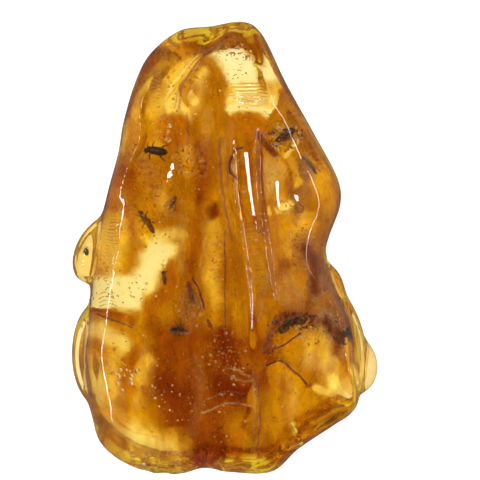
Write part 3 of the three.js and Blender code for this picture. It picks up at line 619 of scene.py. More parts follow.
def flow_skin(name, stains, height, drift, spacing, reach, fade, thickness):
    """A closed thin sheet inside the resin wherever there are stains, out to a share of the outline."""
    xs = np.arange(-SKIN_HALF_WIDTH, SKIN_HALF_WIDTH, spacing)
    ys = np.arange(-SKIN_HALF_LENGTH, SKIN_HALF_LENGTH, spacing)
    x, y = (grid.ravel() for grid in np.meshgrid(xs, ys))
    cells = np.arange(len(xs) * len(ys)).reshape(len(ys), len(xs))
    corners = np.stack([cells[:-1, :-1], cells[:-1, 1:], cells[1:, 1:], cells[1:, :-1]], -1).reshape(-1, 4)
    outward = outline_share(x, y)
    corners = corners[(outward <= reach)[corners].any(1)]
    pull = np.minimum(1, reach / np.maximum(outward, 1e-6))
    x, y = AXIS_X + (x - AXIS_X) * pull, AXIS_Y + (y - AXIS_Y) * pull
    used, corners = np.unique(corners, return_inverse=True)
    corners = corners.reshape(-1, 4)
    x, y = x[used], y[used]
    z = height(x, y)
    tint, cloud = painted(stains, *seen_from_front(x, y, z), drift)
    corners = corners[(cloud > FAINTEST)[corners].any(1)]
    used, corners = np.unique(corners, return_inverse=True)
    corners = corners.reshape(-1, 4)
    x, y, z, tint, cloud = x[used], y[used], z[used], tint[used], cloud[used]
    edges = np.concatenate([corners[:, [k, (k + 1) % 4]] for k in range(4)])
    _, side, uses = np.unique(np.sort(edges, 1), axis=0, return_inverse=True, return_counts=True)
    rim = edges[uses[side.reshape(-1)] == 1]
    lip = thickness * smooth_step(reach - outline_share(x, y), 0, THINNING) + THINNEST
    points = np.column_stack([np.tile(x, 2), np.tile(y, 2), np.concatenate([z, z - lip])])
    walls = np.column_stack([rim[:, ::-1], rim + len(x)])
    faces = np.concatenate([corners, corners[:, ::-1] + len(x), walls])
    skin = mesh_piece(name, (points + nodule_shift) * MM, faces)
    layer = 1 - np.sqrt(1 - np.clip(cloud, 0, CLOUDIEST))
    layer *= smooth_step(reach - outline_share(x, y), 0, fade)
    stain = skin.data.color_attributes.new("stain", "FLOAT_COLOR", "POINT")
    stain.data.foreach_set("color", np.tile(np.column_stack([tint, layer]), (2, 1)).ravel())
    return skin


def lit_through(material, tint, share):
    """Cloudy matter of a tint, dull in front, that passes a share of the light from behind."""
    dull = add(material, "ShaderNodeBsdfDiffuse", {"Color": tint})
    behind = add(material, "ShaderNodeBsdfTranslucent", {"Color": tint})
    return add(material, "ShaderNodeMixShader", {0: share, 1: dull, 2: behind})


def dried_flow_dust():
    """Dust and stain dried on a flow: dull, unevenly thick, and lets light through from behind."""
    material = new_material("dried_flow_dust")
    place = add(material, "ShaderNodeTexCoord").outputs["Object"]
    stretched = add(material, "ShaderNodeMapping", {
        "Vector": place, "Scale": (1 / (0.9 * MM), 1 / (1.5 * MM), 1 / (2 * MM)),
    })
    clumps = add(material, "ShaderNodeTexNoise", {
        "Vector": stretched, "Scale": 1, "Detail": 6, "Roughness": 0.62, "Distortion": 0.6,
    })
    stain = add(material, "ShaderNodeAttribute", attribute_name="stain")
    uneven = add(material, "ShaderNodeMapRange", {
        "Value": clumps, "From Min": 0.3, "From Max": 0.7, "To Min": 0.35, "To Max": 0.88,
    })
    cover = add(material, "ShaderNodeMath", {0: stain.outputs["Alpha"], 1: uneven}, operation="MULTIPLY")
    shade = add(material, "ShaderNodeMapRange", {
        "Value": clumps, "From Min": 0.3, "From Max": 0.7, "To Min": 0.78, "To Max": 1.16,
    })
    tint = add(material, "ShaderNodeVectorMath", {
        0: stain.outputs["Color"], 1: shade,
    }, operation="MULTIPLY")
    cloud = lit_through(material, tint, 0.55)
    # Light passes two faces of a skin, so each takes half of the stain
    one_face = add(material, "ShaderNodeGamma", {"Color": tint, "Gamma": 0.5})
    steeped = add(material, "ShaderNodeMapRange", {"Value": stain.outputs["Alpha"], "From Max": 0.35})
    stained = add(material, "ShaderNodeMix", {0: steeped, 6: (1, 1, 1, 1), 7: one_face}, data_type="RGBA")
    gap = add(material, "ShaderNodeBsdfTransparent", {"Color": stained.outputs[2]})
    both = add(material, "ShaderNodeMixShader", {0: cover, 1: gap, 2: cloud})
    add(material, "ShaderNodeOutputMaterial", {"Surface": both})
    return material


# Strands, smoke and flow lines that lie nearer the front, over the insects, and a few painted highlights and
# sheens
STRANDS = {
    "upper left veil": ("straw", 0.3, 0.5, 1.0, [(-7.2, 18.6), (-6, 16.4), (-6.6, 14.6)]),
    "crown veil": ("straw", 0.3, 0.4, 0.9, [(-2.4, 21.6), (-4.4, 19.4), (-5.2, 17)]),
    "middle veil": ("gold", 0.35, 0.35, 0.8, [(-1.9, 14.8), (-2, 11.4), (-2.4, 8)]),
    "second middle veil": ("gold", 0.3, 0.3, 0.7, [(0.6, 13.4), (0.2, 10), (0.4, 6.4)]),
    "left veil": ("straw", 0.3, 0.6, 1.2, [(-8.8, 9.2), (-7.6, 7), (-6, 4)]),
    "second left veil": ("gold", 0.35, 0.5, 1.0, [(-11.6, 6), (-10.6, 3.4), (-9.6, 1)]),
    "waist veil": ("straw", 0.3, 0.4, 0.9, [(-4.6, 3.4), (-4.9, 0.6), (-4.4, -2.2)]),
    "lower left veil": ("straw", 0.3, 0.5, 1.2, [(-12.8, -12.6), (-11.6, -15.6), (-11.6, -18.6)]),
    "second lower left veil": ("gold", 0.3, 0.5, 1.2, [(-8.6, -11.4), (-8.2, -14.2), (-9.4, -17)]),
    "heart veil": ("gold", 0.22, 0.4, 1.2, [(-3.2, -12.4), (-2.6, -16), (-3.4, -20)]),
    "right veil": ("straw", 0.3, 0.5, 1.0, [(5, 4.6), (5.6, 1), (6.2, -2)]),
    "facet veil": ("straw", 0.25, 0.6, 1.2, [(6.4, -14.6), (7.4, -16.6), (7, -18.6)]),
    # Painted highlight: a bright pale arc where the crown gleams, with a soft pale haze round it.
    "crown highlight arc": ("straw", 0.8, 0.1, 0.15, [(-4.2, 16.7), (-3.3, 17.7), (-2.3, 18.1)]),
    "crown highlight haze": ("straw", 0.35, 0.4, 0.8, [(-3.8, 16.4), (-2.3, 17.3)]),
    "crown flow line": ("gold", 0.5, 0.08, 0.2, [(-0.6, 23), (-3, 20.6), (-4.8, 18), (-5.4, 15.4)]),
    "crown shade line": ("rust", 0.5, 0.1, 0.35, [(0.2, 23.2), (-2.6, 20.8), (-4.4, 18.2), (-5, 15.2)]),
    "left flow line": ("straw", 0.4, 0.07, 0.2, [(-7.6, 19.3), (-6.7, 16.9), (-6.4, 14.9)]),
    "patch edge": ("rust", 0.4, 0.08, 0.4, [(-4.1, 14.8), (-3.9, 13), (-4.2, 11.2)]),
    "swirl": ("straw", 0.3, 0.12, 0.6, [(-5.6, 10.8), (-4.2, 11.1), (-2.8, 10.3), (-2.4, 8.9), (-3.4, 8.1),
              (-4.8, 8.6), (-5, 9.6), (-4.2, 10.1), (-3.4, 9.6)]),
    "swirl shade": ("rust", 0.3, 0.12, 0.6, [(-5.2, 11.2), (-3.6, 11.4), (-2.2, 10.2), (-2, 8.6),
                    (-3.2, 7.7)]),
    "crescent rim": ("ember", 0.85, 0.12, 0.25, [(2.0, 10.9), (1.1, 10.5), (0.6, 9.3), (0.8, 8.1),
                     (1.6, 7.6)]),
    "ridge foot": ("rust", 0.5, 0.12, 0.5, [(-0.5, 12), (-0.4, 8), (0.2, 4), (0.9, 1)]),
    "grey band": ("mauve", 0.6, 0.4, 0.5, [(3.6, 12.6), (4.6, 11.4), (5.6, 10.3)]),
    "ridge right shade": ("rust", 0.35, 0.4, 1.2, [(3.9, 11), (4.1, 8), (4.3, 4.5), (4.3, 1.6)]),
    # Painted sheen: a soft pale band down the shoulder where it catches the light.
    "shoulder sheen": ("milk", 0.4, 0.4, 1.2, [(8.9, 9.8), (9.1, 7.8), (9.2, 6)]),
    "side smoke": ("mauve", 0.6, 0.8, 1.6, [(11, -8), (12.4, -9.6), (12.2, -11.4)]),
    "gnat smoke": ("rust", 0.5, 0.2, 1.0, [(4.9, 12.6), (6.3, 12.6), (7.8, 11.7)]),
    "right flow line": ("straw", 0.5, 0.08, 0.2, [(6.6, 8.2), (7.2, 6), (7.1, 4), (6.4, 3)]),
    "ring": ("straw", 0.6, 0.1, 0.15, [(6.3, 5.3), (7, 4.9), (6.9, 4.1), (6.1, 3.9), (5.6, 4.5),
             (5.9, 5.2)]),
    "brown ring": ("rust", 0.7, 0.09, 0.2, [(8.1, 4.9), (8.6, 4.4), (8.2, 3.8), (7.7, 4.2), (7.8, 4.8)]),
    "waist cloud": ("milk", 0.4, 0.7, 1.4, [(5.6, -3), (6.8, -4.4), (7.8, -6.2)]),
    # Partly a mauve stain, partly a painted soft sheen on the right flank.
    "waist stain and sheen": ("mauve", 0.5, 0.7, 1.2, [(9, 0), (10, -2.6), (10, -4.8)]),
    "column edge": ("rust", 0.6, 0.07, 0.2, [(0.1, 2), (0.15, -2), (0.1, -6), (0.2, -9.5)]),
    "column light": ("straw", 0.5, 0.08, 0.2, [(5.2, -0.4), (4.6, -3.8), (4.2, -5.9), (3.8, -8)]),
    "termite wing edge": ("ember", 0.85, 0.09, 0.15, [(-3.4, -3.4), (-2.6, -4.8), (-2.2, -6.6)]),
    "termite wing": ("milk", 0.35, 0.6, 0.8, [(-4, -5.2), (-4.2, -6.8), (-3.6, -7.8)]),
    "spider shade": ("ember", 0.6, 0.25, 0.7, [(-5.6, -8.9), (-4.2, -9.1)]),
    "left column": ("gold", 0.4, 0.1, 0.3, [(-2.4, 3.4), (-2.2, -0.6), (-2.5, -3.6)]),
    "ledge line": ("ember", 0.85, 0.06, 0.12, [(-14.3, -7.2), (-12.2, -7.9), (-10, -8.7)]),
    "bark smoke": ("rust", 0.5, 0.2, 1.1, [(9.8, -7.6), (7.4, -7.2), (5.4, -8.6), (4.4, -10.8)]),
    "tongue line": ("ember", 0.8, 0.08, 0.15, [(5.3, -10.9), (6.8, -10.4), (8.3, -9.3)]),
    "facet line": ("ember", 0.75, 0.1, 0.15, [(4.6, -12.8), (6.2, -12.4), (7.6, -13.4), (9, -15)]),
    "middle wisp": ("straw", 0.5, 0.12, 0.3, [(0.3, -13.1), (1.8, -13.6), (3.3, -14.2)]),
    "second middle wisp": ("straw", 0.5, 0.07, 0.2, [(0.4, -14), (2, -14.5), (3.4, -14.4)]),
    "heart arc": ("milk", 0.5, 0.05, 0.15, [(-1.6, -16.3), (0.4, -15.7), (2.2, -16)]),
    "beige arc": ("straw", 0.8, 0.07, 0.15, [(-2.5, -18), (-0.7, -17.3), (0.6, -17), (3, -17.4)]),
    "left heart arc": ("milk", 0.5, 0.06, 0.15, [(-8.2, -16.4), (-7.4, -15.7), (-6.4, -15.6)]),
    "lower line": ("gold", 0.6, 0.07, 0.2, [(3.1, -12.6), (3.4, -17), (3.1, -24)]),
    "second lower line": ("rust", 0.7, 0.07, 0.2, [(3.8, -13.6), (3.9, -19), (3.6, -23.6)]),
    "pale streak": ("straw", 0.6, 0.12, 0.2, [(7.2, -19.2), (8.4, -21.6)]),
    "bottom arc": ("straw", 0.5, 0.14, 0.4, [(-12.4, -19.4), (-10, -21.5), (-6.6, -22.7), (-3.6, -22.4)]),
    "second bottom arc": ("gold", 0.5, 0.1, 0.3, [(-12.8, -17.4), (-10.6, -19.8), (-7, -21)]),
    "bottom crack": ("straw", 0.6, 0.06, 0.12, [(5.6, -22.4), (5.4, -24.4)]),
}
# Ripples in the flow's skin are combs of short bowed lines. Each comb: tint, cloudiness, the middles of its
# first and last line, a line's half length and bow, and how many lines there are
COMBS = {
    "left comb": ("straw", 0.55, (-12.2, 3.1), (-12.5, -2.3), 0.75, 0.12, 13),
    "left comb shade": ("rust", 0.35, (-12.2, 2.9), (-12.5, -2.5), 0.65, 0.12, 13),
    "window arc": ("milk", 0.6, (-13.0, -4.9), (-12.7, -6.1), 1.0, 0.3, 4),
    "crown comb": ("straw", 0.5, (-7.5, 18.6), (-7.8, 16.6), 0.6, 0.1, 6),
    "window comb": ("gold", 0.4, (2.6, 18.2), (2.9, 16.1), 1.9, 0.2, 7),
    "ridge comb": ("straw", 0.28, (2.9, 3.2), (3.6, -6.6), 1.2, 0.1, 26),
    "waist comb": ("straw", 0.22, (6.0, 1.6), (6.6, -5.6), 1.3, 0.1, 16),
}
# Half the width of a comb's line and its softness
COMB_LINE, COMB_SOFTNESS = 0.035, 0.12
for label, (tint, cloud, first, last, half_length, bow, count) in COMBS.items():
    for k, (at_x, at_y) in enumerate(np.linspace(first, last, count)):
        ends = [(at_x - half_length, at_y - bow), (at_x, at_y), (at_x + half_length, at_y - bow)]
        STRANDS[f"{label} {k}"] = (tint, cloud, COMB_LINE, COMB_SOFTNESS, ends)

# How far the skin lies under the insects and at least under the front, and how far the strands lie under it
UNDER_INSECTS, LEAST_COVER = 1.5, 0.5
STRAND_DEPTH = 1.1


def under_insects(x, y):
    return np.minimum(flow_height(x, y) - UNDER_INSECTS, crown_height(x, y) - LEAST_COVER)


def near_front(x, y):
    return crown_height(x, y) - STRAND_DEPTH


dried_dust = dried_flow_dust()
# Each skin: its stains, its height, how much their edges wander, the spacing of its points, its reach as a
# share of the outline, the share over which it clears towards its rim, and its thickness
SKINS = {
    "flow_skin": (STAINS_AND_PAINTED_LIGHT, under_insects, 1.0, 0.17, 0.94, 0.14, 0.25),
    "flow_strands": (STRANDS, near_front, 0.4, 0.1, 0.93, 0.05, 0.06),
}
for name, values in SKINS.items():
    skin = flow_skin(name, *values)
    skin.data.materials.append(dried_dust)
    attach(skin, "root")

# The lobes that squeezed out behind the rim hold a clouded heart of their own, crumpled as it dried.
# It is stained and finished as the flow skins are.
HEART_SPLITS = 16
CRUMPLE_SIZE, CRUMPLE_MEAN, CRUMPLE_DEPTH = 2.2, 0.9, 0.16
# Each heart: tint, cloudiness and its share of the lobe's size
LOBE_HEARTS = {
    "left upper": ("lemon", 0.35, 0.8), "left lower": ("straw", 0.2, 0.8), "right upper": ("gold", 0.4, 0.8),
    "right middle": ("straw", 0.35, 0.85), "right outer": ("straw", 0.35, 0.82),
}
for name, (colour, cloud, share) in LOBE_HEARTS.items():
    middle, size, turn = LOBES[name]
    directions, faces = geodesic_ball(HEART_SPLITS)
    crumples = [noise.noise(d * CRUMPLE_SIZE) for d in directions]
    crumpled = share * (CRUMPLE_MEAN + CRUMPLE_DEPTH * np.array(crumples))
    x, y, z = (directions * crumpled[:, None] * size).T
    placed = np.column_stack([*turned(x, y, turn), z]) + middle + nodule_shift
    heart = mesh_piece(name.replace(" ", "_") + "_heart", placed * MM, faces)
    stain = heart.data.color_attributes.new("stain", "FLOAT_COLOR", "POINT")
    layer = 1 - math.sqrt(1 - cloud)
    stain.data.foreach_set("color", np.tile(linear(TINTS[colour])[:3] + [layer], len(directions)))
    heart.data.materials.append(dried_dust)
    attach(heart, "root")

# Bubbles and grains of dust were caught between the flows: they lie in crowds where a flow folded over, and
# thinly everywhere else. Each crowd is scattered over its own patch under the front.

# Each crowd: its middle, its half sizes, how many lie in a square millimetre and how big they are
BACK_CROWDS = {
    "back": ((-0.8, -2.0), (10.0, 19.0), 0.35, 0.3), "back left": ((-7.0, -6.0), (4.0, 6.0), 0.6, 0.22),
    "back right": ((6.0, 3.0), (3.5, 7.0), 0.6, 0.22), "back foot": ((-2.0, -16.0), (7.0, 4.0), 0.5, 0.26),
}
BUBBLE_CROWDS = {
    "window top": ((1.5, 21.3), (1.3, 1.1), 2.5, 0.42), "window fine": ((0.8, 20.4), (1.6, 1.8), 4, 0.16),
    "upper left": ((-6.2, 12.8), (0.8, 1.1), 4, 0.34), "swirl": ((-3.9, 9.6), (1.9, 1.7), 3, 0.2),
    "beside gnat": ((6.4, 11.9), (1.8, 1.5), 4, 0.24), "crescent": ((1.4, 9.2), (0.7, 1.5), 6, 0.2),
    "left window": ((-11.4, -4.5), (3.4, 2), 0.9, 0.24), "waist column": ((-1.0, -1.4), (0.8, 2.3), 3, 0.14),
    "middle grains": ((0.6, -11.3), (2.0, 2.5), 1.5, 0.17), "right grains": ((8.8, -0.1), (1.0, 2.4), 6, 0.2),
    "right lower": ((9.8, -8.8), (2.4, 1.9), 6, 0.2), "lower left": ((-10.6, -13.4), (1.2, 2.2), 2, 0.3),
    "round termite": ((-3.8, -6.6), (1.7, 1.5), 7, 0.17), "bottom": ((-7.2, -22.9), (3.8, 1.0), 3, 0.28),
    "heart": ((-3.4, -15.0), (5.0, 4.2), 0.9, 0.16), "everywhere": ((-0.8, -1.0), (12.0, 21.0), 0.25, 0.18),
}
FROTH_CROWDS = {
    "upper left": ((-6.0, 12.9), (1.0, 1.3), 3, 0.26), "swirl": ((-3.7, 9.4), (1.9, 1.8), 9, 0.2),
    "below beetle": ((-7.6, 8.0), (1.6, 2.0), 3, 0.24), "left middle": ((-9.0, 4.4), (2.6, 3.0), 1.4, 0.24),
    "beside gnat": ((6.0, 11.0), (2.0, 1.6), 3, 0.22), "waist column": ((-1.0, -1.0), (0.8, 2.6), 5, 0.13),
    "middle grains": ((0.4, -11.2), (2.2, 2.6), 5, 0.15), "right grains": ((8.2, 0.4), (1.2, 3.0), 8, 0.2),
    "right lower": ((10.4, -9.0), (2.4, 2.2), 3, 0.2), "round termite": ((-3.4, -7.2), (1.6, 1.4), 6, 0.2),
    "lower left": ((-9.8, -13.0), (3.0, 5.0), 0.7, 0.3), "crown": ((-4.0, 18.0), (3.5, 4.0), 0.7, 0.26),
    "everywhere": ((-0.8, -1.0), (12.0, 21.0), 0.3, 0.16),
}
DUST_CROWDS = {
    "left window": ((-11.3, -4.2), (3.6, 2.3), 2.2, 0.13), "window": ((2.0, 20.3), (1.8, 2.2), 2, 0.14),
    "swirl": ((-3.8, 9.4), (2.0, 1.8), 3, 0.16), "beside gnat": ((6.3, 11.9), (2.1, 1.4), 7, 0.2),
    "lower bark": ((7.4, -7.9), (2.8, 1.0), 9, 0.22), "bark tail": ((4.8, -10.0), (0.9, 1.8), 7, 0.17),
    "right mauve": ((9.9, -3.2), (1.4, 2.8), 3, 0.13), "springtail": ((-1.0, -7.6), (1.2, 1.8), 3, 0.12),
    "middle": ((0.4, -12.0), (2.4, 2.4), 2, 0.15), "right side": ((12.0, -9.4), (1.6, 1.8), 5, 0.16),
    "everywhere": ((-0.8, -1.0), (12.0, 21.0), 0.35, 0.11),
}
# How many cells a crowd's patch has each way
CROWD_CELLS = 9


def crowd_patches(crowds, depth):
    """Patches under the front, one for each crowd, that carry how crowded and how coarse its grains are."""
    points, faces, crowding, coarseness = [], [], [], []
    for (at_x, at_y), (half_x, half_y), crowd, grain in crowds.values():
        steps = np.linspace(-1, 1, CROWD_CELLS + 1)
        u, v = (grid.ravel() for grid in np.meshgrid(steps, steps))
        u, v = u * np.sqrt(1 - v**2 / 2), v * np.sqrt(1 - u**2 / 2)
        x, y = at_x + half_x * u, at_y + half_y * v
        first = len(points)
        points += list(np.column_stack([x, y, crown_height(x, y) - depth]) + nodule_shift)
        row = CROWD_CELLS + 1
        for i in range(CROWD_CELLS):
            for k in range(CROWD_CELLS):
                corner = first + i * row + k
                faces.append((corner, corner + 1, corner + row + 1, corner + row))
        crowding += [crowd] * CROWD_CELLS**2
        coarseness += [grain] * CROWD_CELLS**2
    patches = mesh_piece("crowd_patches", np.array(points) * MM, faces)
    patches.data.attributes.new("crowding", "FLOAT", "FACE").data.foreach_set("value", crowding)
    patches.data.attributes.new("coarseness", "FLOAT", "FACE").data.foreach_set("value", coarseness)
    return patches


def grown(name, carrier, tree, values, material):
    """The plain mesh that a tree makes from its carrier, which is removed."""
    modifier = carrier.modifiers.new(tree.name, "NODES")
    modifier.node_group = tree
    for socket in tree.interface.items_tree:
        if socket.in_out == "INPUT" and socket.name in values:
            modifier[socket.identifier] = values[socket.name]
    evaluated = carrier.evaluated_get(bpy.context.evaluated_depsgraph_get())
    mesh = bpy.data.meshes.new_from_object(evaluated)
    bpy.data.objects.remove(carrier)
    for attribute in [a for a in mesh.attributes if a.name in ("crowding", "coarseness")]:
        mesh.attributes.remove(attribute)
    mesh.materials.clear()
    mesh.materials.append(material)
    piece = bpy.data.objects.new(name, mesh)
    bpy.context.collection.objects.link(piece)
    return piece


def trapped_air():
    """Air shut in resin: a clean bright skin that bends light the other way from the resin round it."""
    material = new_material("trapped_air")
    shader = add(material, "ShaderNodeBsdfPrincipled", {
        "Base Color": (1, 1, 1, 1), "Roughness": 0.0, "IOR": 1.45, "Transmission Weight": 1,
    })
    add(material, "ShaderNodeOutputMaterial", {"Surface": shader})
    return material


def wood_dust():
    """Fine wood and soil dust: matt, brown to black from grain to grain."""
    material = new_material("wood_dust")
    place = add(material, "ShaderNodeTexCoord").outputs["Object"]
    kinds = add(material, "ShaderNodeTexNoise", {"Vector": place, "Scale": 1 / (1.2 * MM), "Detail": 2})
    tint = add(material, "ShaderNodeMix", {
        0: kinds, 6: linear("#1A0C05"), 7: linear("#6A3410"),
    }, data_type="RGBA")
    shader = add(material, "ShaderNodeBsdfPrincipled", {"Base Color": tint.outputs[2], "Roughness": 0.85})
    add(material, "ShaderNodeOutputMaterial", {"Surface": shader})
    return material


def dried_froth():
    """Specks of froth that dried before the next flow came: golden and half clear."""
    material = new_material("dried_froth")
    place = add(material, "ShaderNodeTexCoord").outputs["Object"]
    kinds = add(material, "ShaderNodeTexNoise", {"Vector": place, "Scale": 1 / (1.5 * MM), "Detail": 2})
    tint = add(material, "ShaderNodeMix", {
        0: kinds, 6: linear("#B87418"), 7: linear("#F6BE58"),
    }, data_type="RGBA")
    froth_body = lit_through(material, tint.outputs[2], 0.5)
    clear = add(material, "ShaderNodeBsdfTransparent", {"Color": linear("#FFE8B8")})
    cover = add(material, "ShaderNodeMapRange", {
        "Value": kinds, "From Min": 0.35, "From Max": 0.65, "To Min": 0.25, "To Max": 0.75,
    })
    both = add(material, "ShaderNodeMixShader", {0: cover, 1: clear, 2: froth_body})
    add(material, "ShaderNodeOutputMaterial", {"Surface": both})
    return material


air, dust, froth = trapped_air(), wood_dust(), dried_froth()
# One tree strews grains over a crowd's patch: how far they stray from it, how flat they are, how finely they
# are rounded and their seed
GRAIN_INPUTS = {
    "Geometry": "Geometry", "Depth spread": "Float", "Flatness": "Vector", "Facets": "Int", "Seed": "Int",
}
grains = bpy.data.node_groups.new("scattered_grains", "GeometryNodeTree")
grains.interface.new_socket(name="Geometry", in_out="OUTPUT", socket_type="NodeSocketGeometry")
for label, kind in GRAIN_INPUTS.items():
    grains.interface.new_socket(name=label, in_out="INPUT", socket_type="NodeSocket" + kind)
given = add(grains, "NodeGroupInput").outputs
crowding = add(grains, "GeometryNodeInputNamedAttribute", {"Name": "crowding"}, data_type="FLOAT")
coarseness = add(grains, "GeometryNodeInputNamedAttribute", {"Name": "coarseness"}, data_type="FLOAT")
density = add(grains, "ShaderNodeMath", {0: crowding, 1: 1 / MM**2}, operation="MULTIPLY")
spots = add(grains, "GeometryNodeDistributePointsOnFaces", {
    "Mesh": given["Geometry"], "Density": density, "Seed": given["Seed"],
}, distribute_method="RANDOM")
# A random value's sockets 0 and 1 are the least and most of a vector, and 2 and 3 those of a number
stray = add(grains, "FunctionNodeRandomValue", {2: -1.0, 3: 1.0, "Seed": given["Seed"]}, data_type="FLOAT")
lift = add(grains, "ShaderNodeMath", {0: stray.outputs[1], 1: given["Depth spread"]}, operation="MULTIPLY")
upward = add(grains, "ShaderNodeCombineXYZ", {"Z": lift})
spread = add(grains, "GeometryNodeSetPosition", {"Geometry": spots, "Offset": upward})
# Most grains are small and a few are twice as big
chance = add(grains, "FunctionNodeRandomValue", {2: 0.62, 3: 1.3, "Seed": given["Seed"]}, data_type="FLOAT")
uneven = add(grains, "ShaderNodeMath", {0: chance.outputs[1], 1: 2.4}, operation="POWER")
across = add(grains, "ShaderNodeMath", {0: uneven, 1: coarseness}, operation="MULTIPLY")
across = add(grains, "ShaderNodeMath", {0: across, 1: MM}, operation="MULTIPLY")
scale = add(grains, "ShaderNodeVectorMath", {0: given["Flatness"], 1: across}, operation="MULTIPLY")
ball = add(grains, "GeometryNodeMeshIcoSphere", {"Radius": 0.5, "Subdivisions": given["Facets"]})
turn = add(grains, "FunctionNodeRandomValue", {
    0: (-0.6, -0.6, 0), 1: (0.6, 0.6, 2 * math.pi), "Seed": given["Seed"],
}, data_type="FLOAT_VECTOR")
strewn = add(grains, "GeometryNodeInstanceOnPoints", {
    "Points": spread, "Instance": ball, "Rotation": turn, "Scale": scale,
})
real = add(grains, "GeometryNodeRealizeInstances", {"Geometry": strewn})
rounded = add(grains, "GeometryNodeSetShadeSmooth", {"Geometry": real, "Shade Smooth": True})
finished = add(grains, "GeometryNodeSetMaterial", {"Geometry": rounded, "Material": air})
add(grains, "NodeGroupOutput", {0: finished})

# Each kind of grain: its crowds, its finish, how deep it lies under the front, how far it strays from there,
# how flat it is, how finely it is rounded and its seed
GRAINS = {
    "froth_specks": (FROTH_CROWDS, froth, 2.5, 1.1, (1.1, 0.8, 0.6), 2, 41),
    "bubbles": (BUBBLE_CROWDS, air, 2.4, 1.0, (1, 1, 0.85), 2, 7),
    "back_bubbles": (BACK_CROWDS, air, 12, 3.4, (1, 1, 0.9), 2, 19),
    "dust_grains": (DUST_CROWDS, dust, 2.6, 1.2, (1.4, 0.8, 0.5), 1, 23),
}
for name, (crowds, finish, depth, stray, flatness, facets, seed) in GRAINS.items():
    values = {"Depth spread": stray * MM, "Flatness": flatness, "Facets": facets, "Seed": seed}
    scattered = grown(name, crowd_patches(crowds, depth), grains, values, finish)
    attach(scattered, "root")

# The insects stuck to the flow's skin and the next flow sealed them in. Their shells are chitin, dried to
# brown and black, and their wings are clear films. Each is built with its head towards +X, in millimetres.
RINGS, SIDES = 12, 20
# A body part's ends are closed at this share of its girth, squared, and its bands are this deep
BLUNT_END = 0.004
BAND_DEPTH = 0.07


def tube(points, widths, sides=8):
    """Places and faces of a closed tapering tube through points."""
    points = np.array(points, float)
    runs = np.gradient(points, axis=0)
    runs /= np.linalg.norm(runs, axis=1)[:, None]
    across = np.cross(runs, (0.1, 0.2, 1))
    across /= np.linalg.norm(across, axis=1)[:, None]
    up = np.cross(across, runs)
    angles = np.arange(sides) * 2 * math.pi / sides
    half = np.array(widths)[:, None, None] / 2
    rings = points[:, None] + half * (
        across[:, None] * np.cos(angles)[None, :, None] + up[:, None] * np.sin(angles)[None, :, None]
    )
    faces = []
    for i in range(len(points) - 1):
        for k in range(sides):
            m = (k + 1) % sides
            faces.append((i * sides + k, i * sides + m, (i + 1) * sides + m, (i + 1) * sides + k))
    faces.append(tuple(range(sides))[::-1])
    faces.append(tuple((len(points) - 1) * sides + k for k in range(sides)))
    return rings.reshape(-1, 3), faces


def body_part(size, at, bands=0):
    """Places and faces of an egg-shaped part of a body, its back ringed by a number of bands."""
    shares = np.linspace(-1, 1, RINGS + 1 + 3 * bands)
    girth = np.sqrt(np.maximum(1 - shares**2, BLUNT_END))
    if bands:
        girth = girth * (1 - BAND_DEPTH * np.abs(np.cos(shares * bands * math.pi / 2)) ** 6)
    angles = np.arange(SIDES) * 2 * math.pi / SIDES
    x = np.repeat(shares * size[0] / 2, SIDES)
    y = (girth[:, None] * np.cos(angles) * size[1] / 2).ravel()
    z = (girth[:, None] * np.sin(angles) * size[2] / 2).ravel()
    faces = []
    for i in range(len(shares) - 1):
        for k in range(SIDES):
            m = (k + 1) % SIDES
            faces.append((i * SIDES + k, (i + 1) * SIDES + k, (i + 1) * SIDES + m, i * SIDES + m))
    faces.append(tuple(range(SIDES)))
    faces.append(tuple((len(shares) - 1) * SIDES + k for k in range(SIDES))[::-1])
    return np.column_stack([x, y, z]) + at, [face[::-1] for face in faces]


# A leg's thickness at each point from its root to its foot, as a share of the thickness given
LEG_TAPER = (0.9, 1.15, 1.0, 0.7, 0.62, 0.5, 0.3)


def leg(points, thickness):
    """A leg or feeler through a root, a knee and a foot: stout thigh, thin shin and hair-fine foot."""
    root, knee, foot = (np.array(p, float) for p in points)
    thigh = [root, (root * 2 + knee) / 3, (root + knee * 2) / 3]
    shin = [knee, (knee * 2 + foot) / 3, (knee + foot * 2) / 3]
    return tube([*thigh, *shin, foot], [thickness * w for w in LEG_TAPER])


def mirrored_legs(rows, thickness):
    """The left and right legs or feelers of each row."""
    return [leg([(x, side * y, z) for x, y, z in row], thickness) for row in rows for side in (-1, 1)]


def rayed_legs(centre, angles, reach, heights, thickness):
    """The left and right legs that spread like rays from a centre, at the angles given."""
    legs = []
    for degrees in angles:
        for side in (-1, 1):
            a = math.radians(degrees) * side
            path = [(centre + r * math.cos(a), r * math.sin(a), z) for r, z in zip(reach, heights)]
            legs.append(leg(path, thickness))
    return legs


# How thick a wing is and how far its pleats stand up
WING_THICKNESS = 0.05
PLEAT = 0.035


